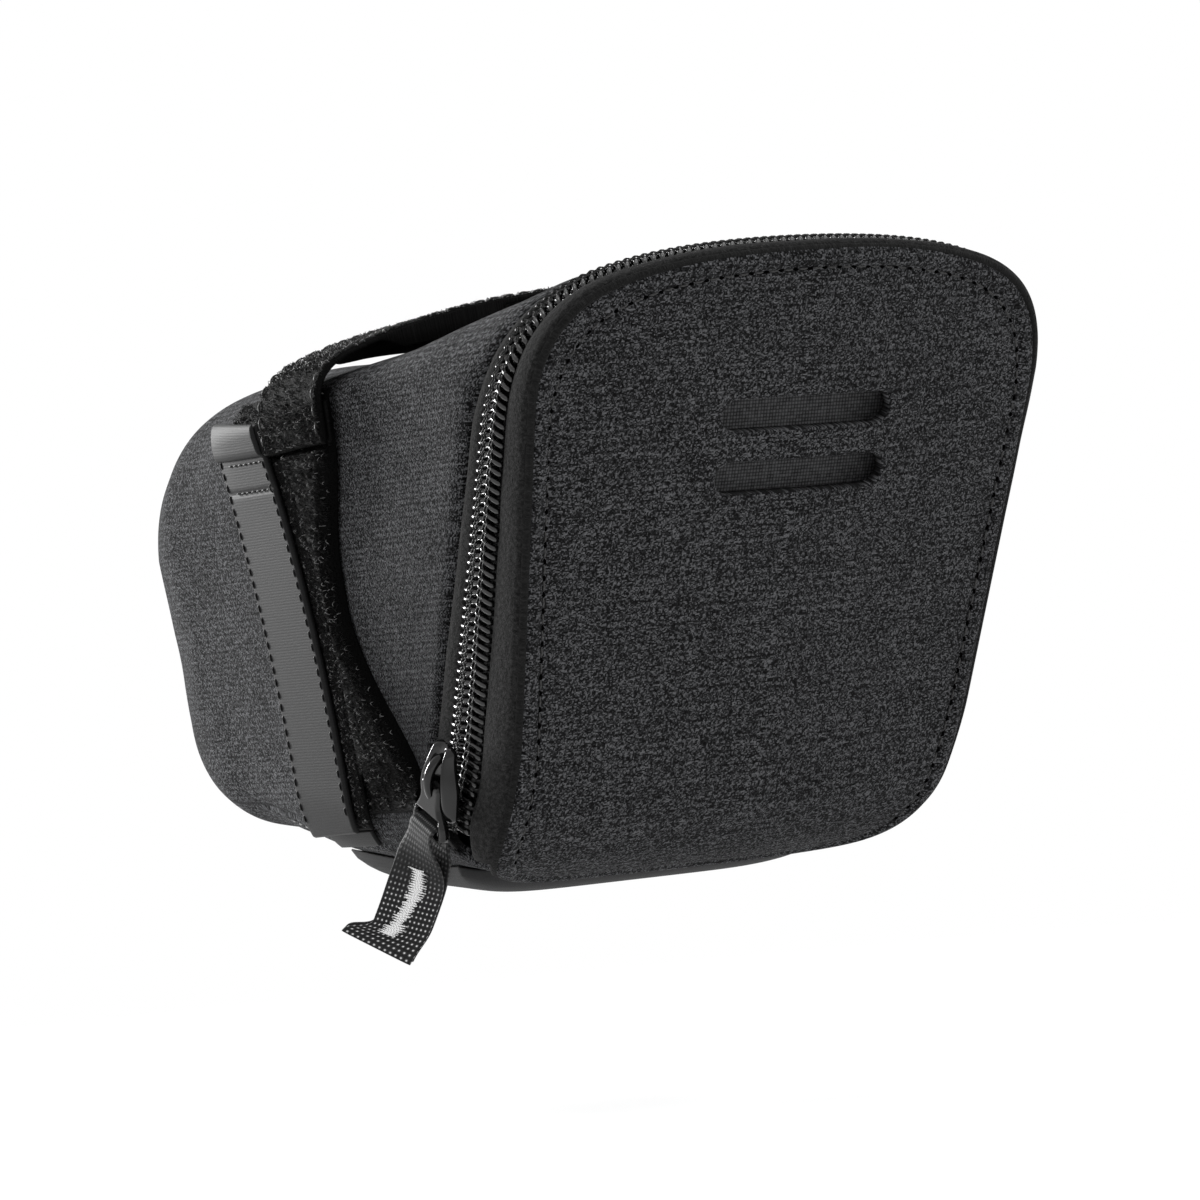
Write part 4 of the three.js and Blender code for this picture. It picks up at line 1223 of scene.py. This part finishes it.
def slider_outline(y):
    """Half the slider's width: two lobes over the teeth's entry, narrow where the closed chain leaves."""
    rise = (y - PLATE["foot"]) / (PLATE["head"] - PLATE["foot"])
    foot = 1 - 0.38 * rounded(1 - rise / 0.16)
    taper = 1 - 0.42 * smoothstep(rise, 0.35, 0.92)
    tip = 1 - 0.45 * rounded(1 - (1 - rise) / 0.12)
    return PLATE["width"] / 2 * taper * foot * tip


def slider_plate(name, outer, inner, lobe=0.0):
    """One plate of the slider, rounded at its rim, with two lobes standing on its outer face."""

    def surface(a, b, depth):
        y = lerp(PLATE["foot"], PLATE["head"], b)
        return from_zip(stack(slider_outline(y) * (2 * a - 1), y, -depth))

    def top(a, b):
        lobes = lobe * ridge(np.abs(2 * a - 1), 0.66, 0.26) * np.clip(np.sin(math.pi * b), 0, 1) ** 0.6
        return -outer - lobes + edge_round(a, b, 0.12, 0.1, 0.55)

    def bottom(a, b):
        return -inner - edge_round(a, b, 0.12, 0.1, 0.3)

    return slab(name, surface, shares(40), shares(40), top, bottom)


def rod(name, path, hint, radius):
    """A round rod along a path given in the zip's axes."""
    return strands(name, from_zip([path]), hint, np.full(len(path), radius), sides=14)


def slider():
    """The zip's slider: two plates, the neck between them and the bridge that holds the puller."""
    low, high, thick = PLATE["inner"], PLATE["outer"], PLATE["thick"]
    top = slider_plate("slider_plate", high + thick, high, lobe=PLATE["lobe"])
    place(top, "slider", "metal", "black_metal", "slider")
    place(slider_plate("slider_base", low, low - thick), "slider", "metal", "black_metal")
    neck = stack(0, NECK["y"], np.linspace(low - thick / 2, high + thick / 2, 6))
    place(rod("slider_neck", neck, up_zip, NECK["radius"]), "slider", "metal", "black_metal")
    share = shares(40)
    arch = BRIDGE["clear"] + BRIDGE["rise"] * np.clip(np.sin(math.pi * share), 0, 1) ** 0.45
    bridge = stack(0, lerp(BRIDGE["foot"], BRIDGE["head"], share), high + arch)
    place(rod("slider_bridge", bridge, rear_of_zip, BRIDGE["radius"]), "slider", "metal", "black_metal")


def puller():
    """A cast pull tab that hangs on the bridge; the ribbon is threaded through the slot at its foot."""
    a, b = np.linspace(-1, 1, 41), shares(46)
    across, along = np.meshgrid(a, b)
    length = PULLER_REACH + 1.5
    half = 2.9 + 2.2 * smoothstep(along, 0.3, 0.8)
    ends = 1 - 0.28 * rounded(1 - np.minimum(along, 1 - along) * length / 1.2)
    x = half * across * ends
    y = PIVOT_Y + 0.8 - length * along
    bar_y = PIVOT_Y - PULLER_REACH
    slot = (np.abs(x) < 4.0) & (y > bar_y + 0.75) & (y < bar_y + 3.4)
    eye = (np.abs(x) < 1.3) & (np.abs(y - PIVOT_Y + 0.4) < 0.9)
    hole = slot | eye
    cut = hole[:-1, :-1] & hole[1:, :-1] & hole[:-1, 1:] & hole[1:, 1:]

    def surface(_, __, depth):
        return from_zip(stack(x, y, PIVOT_Z - depth))

    def outer(p, q):
        return -0.75 + edge_round((p + 1) / 2, q, 0.12, 0.1, 0.55)

    piece = slab("puller_tab", surface, a, b, outer, 0.75, keep=~cut)
    place(piece, "puller", "metal", "black_metal", "puller_ring")
    bar = stack(np.linspace(-4.6, 4.6, 12), bar_y, PIVOT_Z)
    place(rod("puller_bar", bar, up_zip, 0.72), "puller", "metal", "black_metal")


def ribbon_surface(a, b, depth):
    """The ribbon's path: up from its rear end, round the puller's bar and down, twisting and curling."""
    bar_y = PIVOT_Y - PULLER_REACH
    eye = (RIBBON["gap"] + RIBBON["thick"]) / 2
    arc = math.pi * eye
    along = b * (2 * RIBBON["length"] + arc) - RIBBON["length"]
    back, front = along < 0, along > arc
    down = np.where(back, -along, np.where(front, along - arc, 0))
    facing = np.where(back, -1, 1)
    close = 1 - 0.62 * smoothstep(down, 0, 0.4 * RIBBON["length"])
    out = facing * (eye * close - depth)
    angle = math.pi - math.pi * np.clip(along, 0, arc) / arc
    middle = ~(back | front)
    down = np.where(middle, -(eye - depth) * np.sin(angle), down)
    out = np.where(middle, (eye - depth) * np.cos(angle), out)
    share = np.maximum(0, down) / RIBBON["length"]
    turn = RIBBON["twist"] * smoothstep(share, 0, 0.5)
    width = lerp(RIBBON["eye"], RIBBON["width"], smoothstep(share, 0, 0.22))
    side = (a - 0.5) * width
    curl = smoothstep(share, 0.72, 1) * (1.25 - a)
    x = side * np.cos(turn) - out * np.sin(turn) - 2.2 * curl
    z = side * np.sin(turn) + out * np.cos(turn) + RIBBON["lean"] * share**1.6 + 1.6 * curl
    return from_zip(stack(x, bar_y - down + 3.0 * curl * share, PIVOT_Z + z))


def ribbon():
    """The puller's ribbon, woven in ribs."""
    half = RIBBON["thick"] / 2
    total = 2 * RIBBON["length"] + math.pi * (RIBBON["gap"] / 2 + half)

    def ribbed(a, b):
        wave = np.abs(np.sin(math.pi * b * total / RIBBON["rib"])) * (1 - np.abs(2 * a - 1) ** 8)
        return half - 0.2 + 0.13 * wave

    def outer(a, b):
        return -ribbed(a, b)

    piece = slab("ribbon_cloth", ribbon_surface, shares(44), shares(520), outer, ribbed)
    place(piece, "ribbon", "ribbon", "ribbon_weave", "ribbon")
    tack = ribbon_tack(half)


def ribbon_tack(half):
    """The bar of white thread that holds the ribbon's two layers, sewn back and forth."""
    strokes = TACK["strokes"]
    share = shares(strokes * 6)
    swing = 2 * np.abs(((share * strokes) % 1) * 2 - 1) - 1
    reach = TACK["reach"] * np.repeat(random_draw.uniform(0.5, 1.3, strokes * 2), 3)
    across = 0.52 + 0.05 * np.sin(share * 5) - 0.07 * share + reach * swing
    along = lerp(TACK["start"], TACK["end"], share)
    lift = -half - 0.1 + 0.12 * np.abs(swing)
    path = ribbon_surface(across, along, lift)
    out = unit(ribbon_surface(across, along, lift - 1) - path)
    tack = strands("ribbon_tack", path[None], out[None], np.full(len(path), 0.13))
    return place(tack, "ribbon", "white", "white_thread", "ribbon_bartack")


# ---- stage ----
CAMERA = dict(azimuth=-32.0, elevation=-0.484, roll=5.288, distance=1.0714, target=(0.015, 0.019, -0.047))
LENS, SENSOR = 180, 36
FLOOR = dict(side=3.0, drop=0.03, grey=0.93, fade=2.2, solid=1.6)


def camera():
    a, e = math.radians(CAMERA["azimuth"]), math.radians(CAMERA["elevation"])
    back = Vector((math.sin(a) * math.cos(e), -math.cos(a) * math.cos(e), math.sin(e)))
    right = Vector((math.cos(a), math.sin(a), 0))
    up = back.cross(right)
    roll = math.radians(CAMERA["roll"])
    image_right = math.cos(roll) * right - math.sin(roll) * up
    image_up = math.sin(roll) * right + math.cos(roll) * up
    turn = Matrix((image_right, image_up, back)).transposed()
    data = bpy.data.cameras.new("camera")
    data.lens, data.sensor_width = LENS, SENSOR
    data.clip_start, data.clip_end = 0.05, 20
    eye = bpy.data.objects.new("camera", data)
    place_at = Vector(CAMERA["target"]) + back * CAMERA["distance"]
    eye.matrix_world = Matrix.Translation(place_at) @ turn.to_4x4()
    bpy.context.scene.collection.objects.link(eye)
    bpy.context.scene.camera = eye


def soft_light(name, place_at, size, power):
    data = bpy.data.lights.new(name, "AREA")
    data.shape = "DISK"
    data.size = size
    data.energy = power
    lamp = bpy.data.objects.new(name, data)
    lamp.location = place_at
    aim = Vector((0, 0.02, -0.045)) - Vector(place_at)
    lamp.rotation_mode = "QUATERNION"
    lamp.rotation_quaternion = aim.to_track_quat("-Z", "Y")
    lamp.visible_camera = False
    bpy.context.scene.collection.objects.link(lamp)


def studio():
    world = bpy.data.worlds.new("studio")
    world.use_nodes = True
    world.node_tree.nodes["Background"].inputs["Color"].default_value = (1, 1, 1, 1)
    world.node_tree.nodes["Background"].inputs["Strength"].default_value = 1.0
    bpy.context.scene.world = world
    bpy.context.scene.view_settings.view_transform = "Standard"
    soft_light("back_left", (-0.3, 1.0, 0.25), 0.35, 16)
    soft_light("front_right", (0.7, -0.7, 0.3), 0.5, 3)
    soft_light("overhead", (0.1, -0.1, 0.9), 0.6, 2)


def floor_paper():
    """White paper that fades out to the sides, and is clear from below."""
    look = Look("floor_paper", roughness=0.9)
    look.colour((FLOOR["grey"],) * 3)
    clear = look.node("BsdfTransparent").outputs[0]
    here = look.node("TexCoord").outputs["Object"]
    spot = look.node("Mapping", Vector=here, Scale=(FLOOR["fade"], FLOOR["fade"], 0))
    radial = look.node("TexGradient", {"gradient_type": "SPHERICAL"}, Vector=spot.outputs["Vector"])
    near = look.math("SMOOTH_MIN", look.times(radial.outputs["Fac"], FLOOR["solid"]), 1.0, 0.3)
    below = look.node("NewGeometry").outputs["Backfacing"]
    one_sided = look.node("MixShader", i0=below, i1=look.shader.outputs[0], i2=clear).outputs[0]
    faded = look.node("MixShader", i0=near, i1=clear, i2=one_sided).outputs[0]
    look.tree.links.new(faded, look.tree.nodes["Material Output"].inputs["Surface"])
    return look.material


def floor():
    """The paper under the hanging bag."""
    side = FLOOR["side"]
    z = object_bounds()[0].z - FLOOR["drop"]
    corners = [(-side, -side, z), (side, -side, z), (side, side, z), (-side, side, z)]
    mesh = bpy.data.meshes.new("floor")
    mesh.from_pydata(corners, [], [(0, 1, 2, 3)])
    mesh.materials.append(floor_paper())
    sheet = bpy.data.objects.new("floor", mesh)
    bpy.context.scene.collection.objects.link(sheet)
    sheet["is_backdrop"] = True


rear_panel()
panel_seam()
clip_webbing()
lid_inside()
band_cloth("gusset_cloth", "lid", (0.015, 0.405), "fleece", "fleece_cloth", "lid_gusset", 0.5)
band_cloth("band_cloth", "shell", (0.765, 0.985), "fleece", "fleece_cloth", "shell_zip_band", 0.35)
zip_coil("rear", "lid", COIL_REAR, TAPE_REAR, phase=0.0, handed=1)
zip_coil("front", "shell", COIL_FRONT, TAPE_FRONT, phase=math.pi, handed=-1)
seam_piping()
body_cloth()
base_binding()
for side in ("left", "right"):
    side_patch(side)
base_pad()
for side in ("left", "right"):
    side_strap(side)
rail_strap()
post_strap()
slider()
puller()
ribbon()
camera()
studio()
floor()
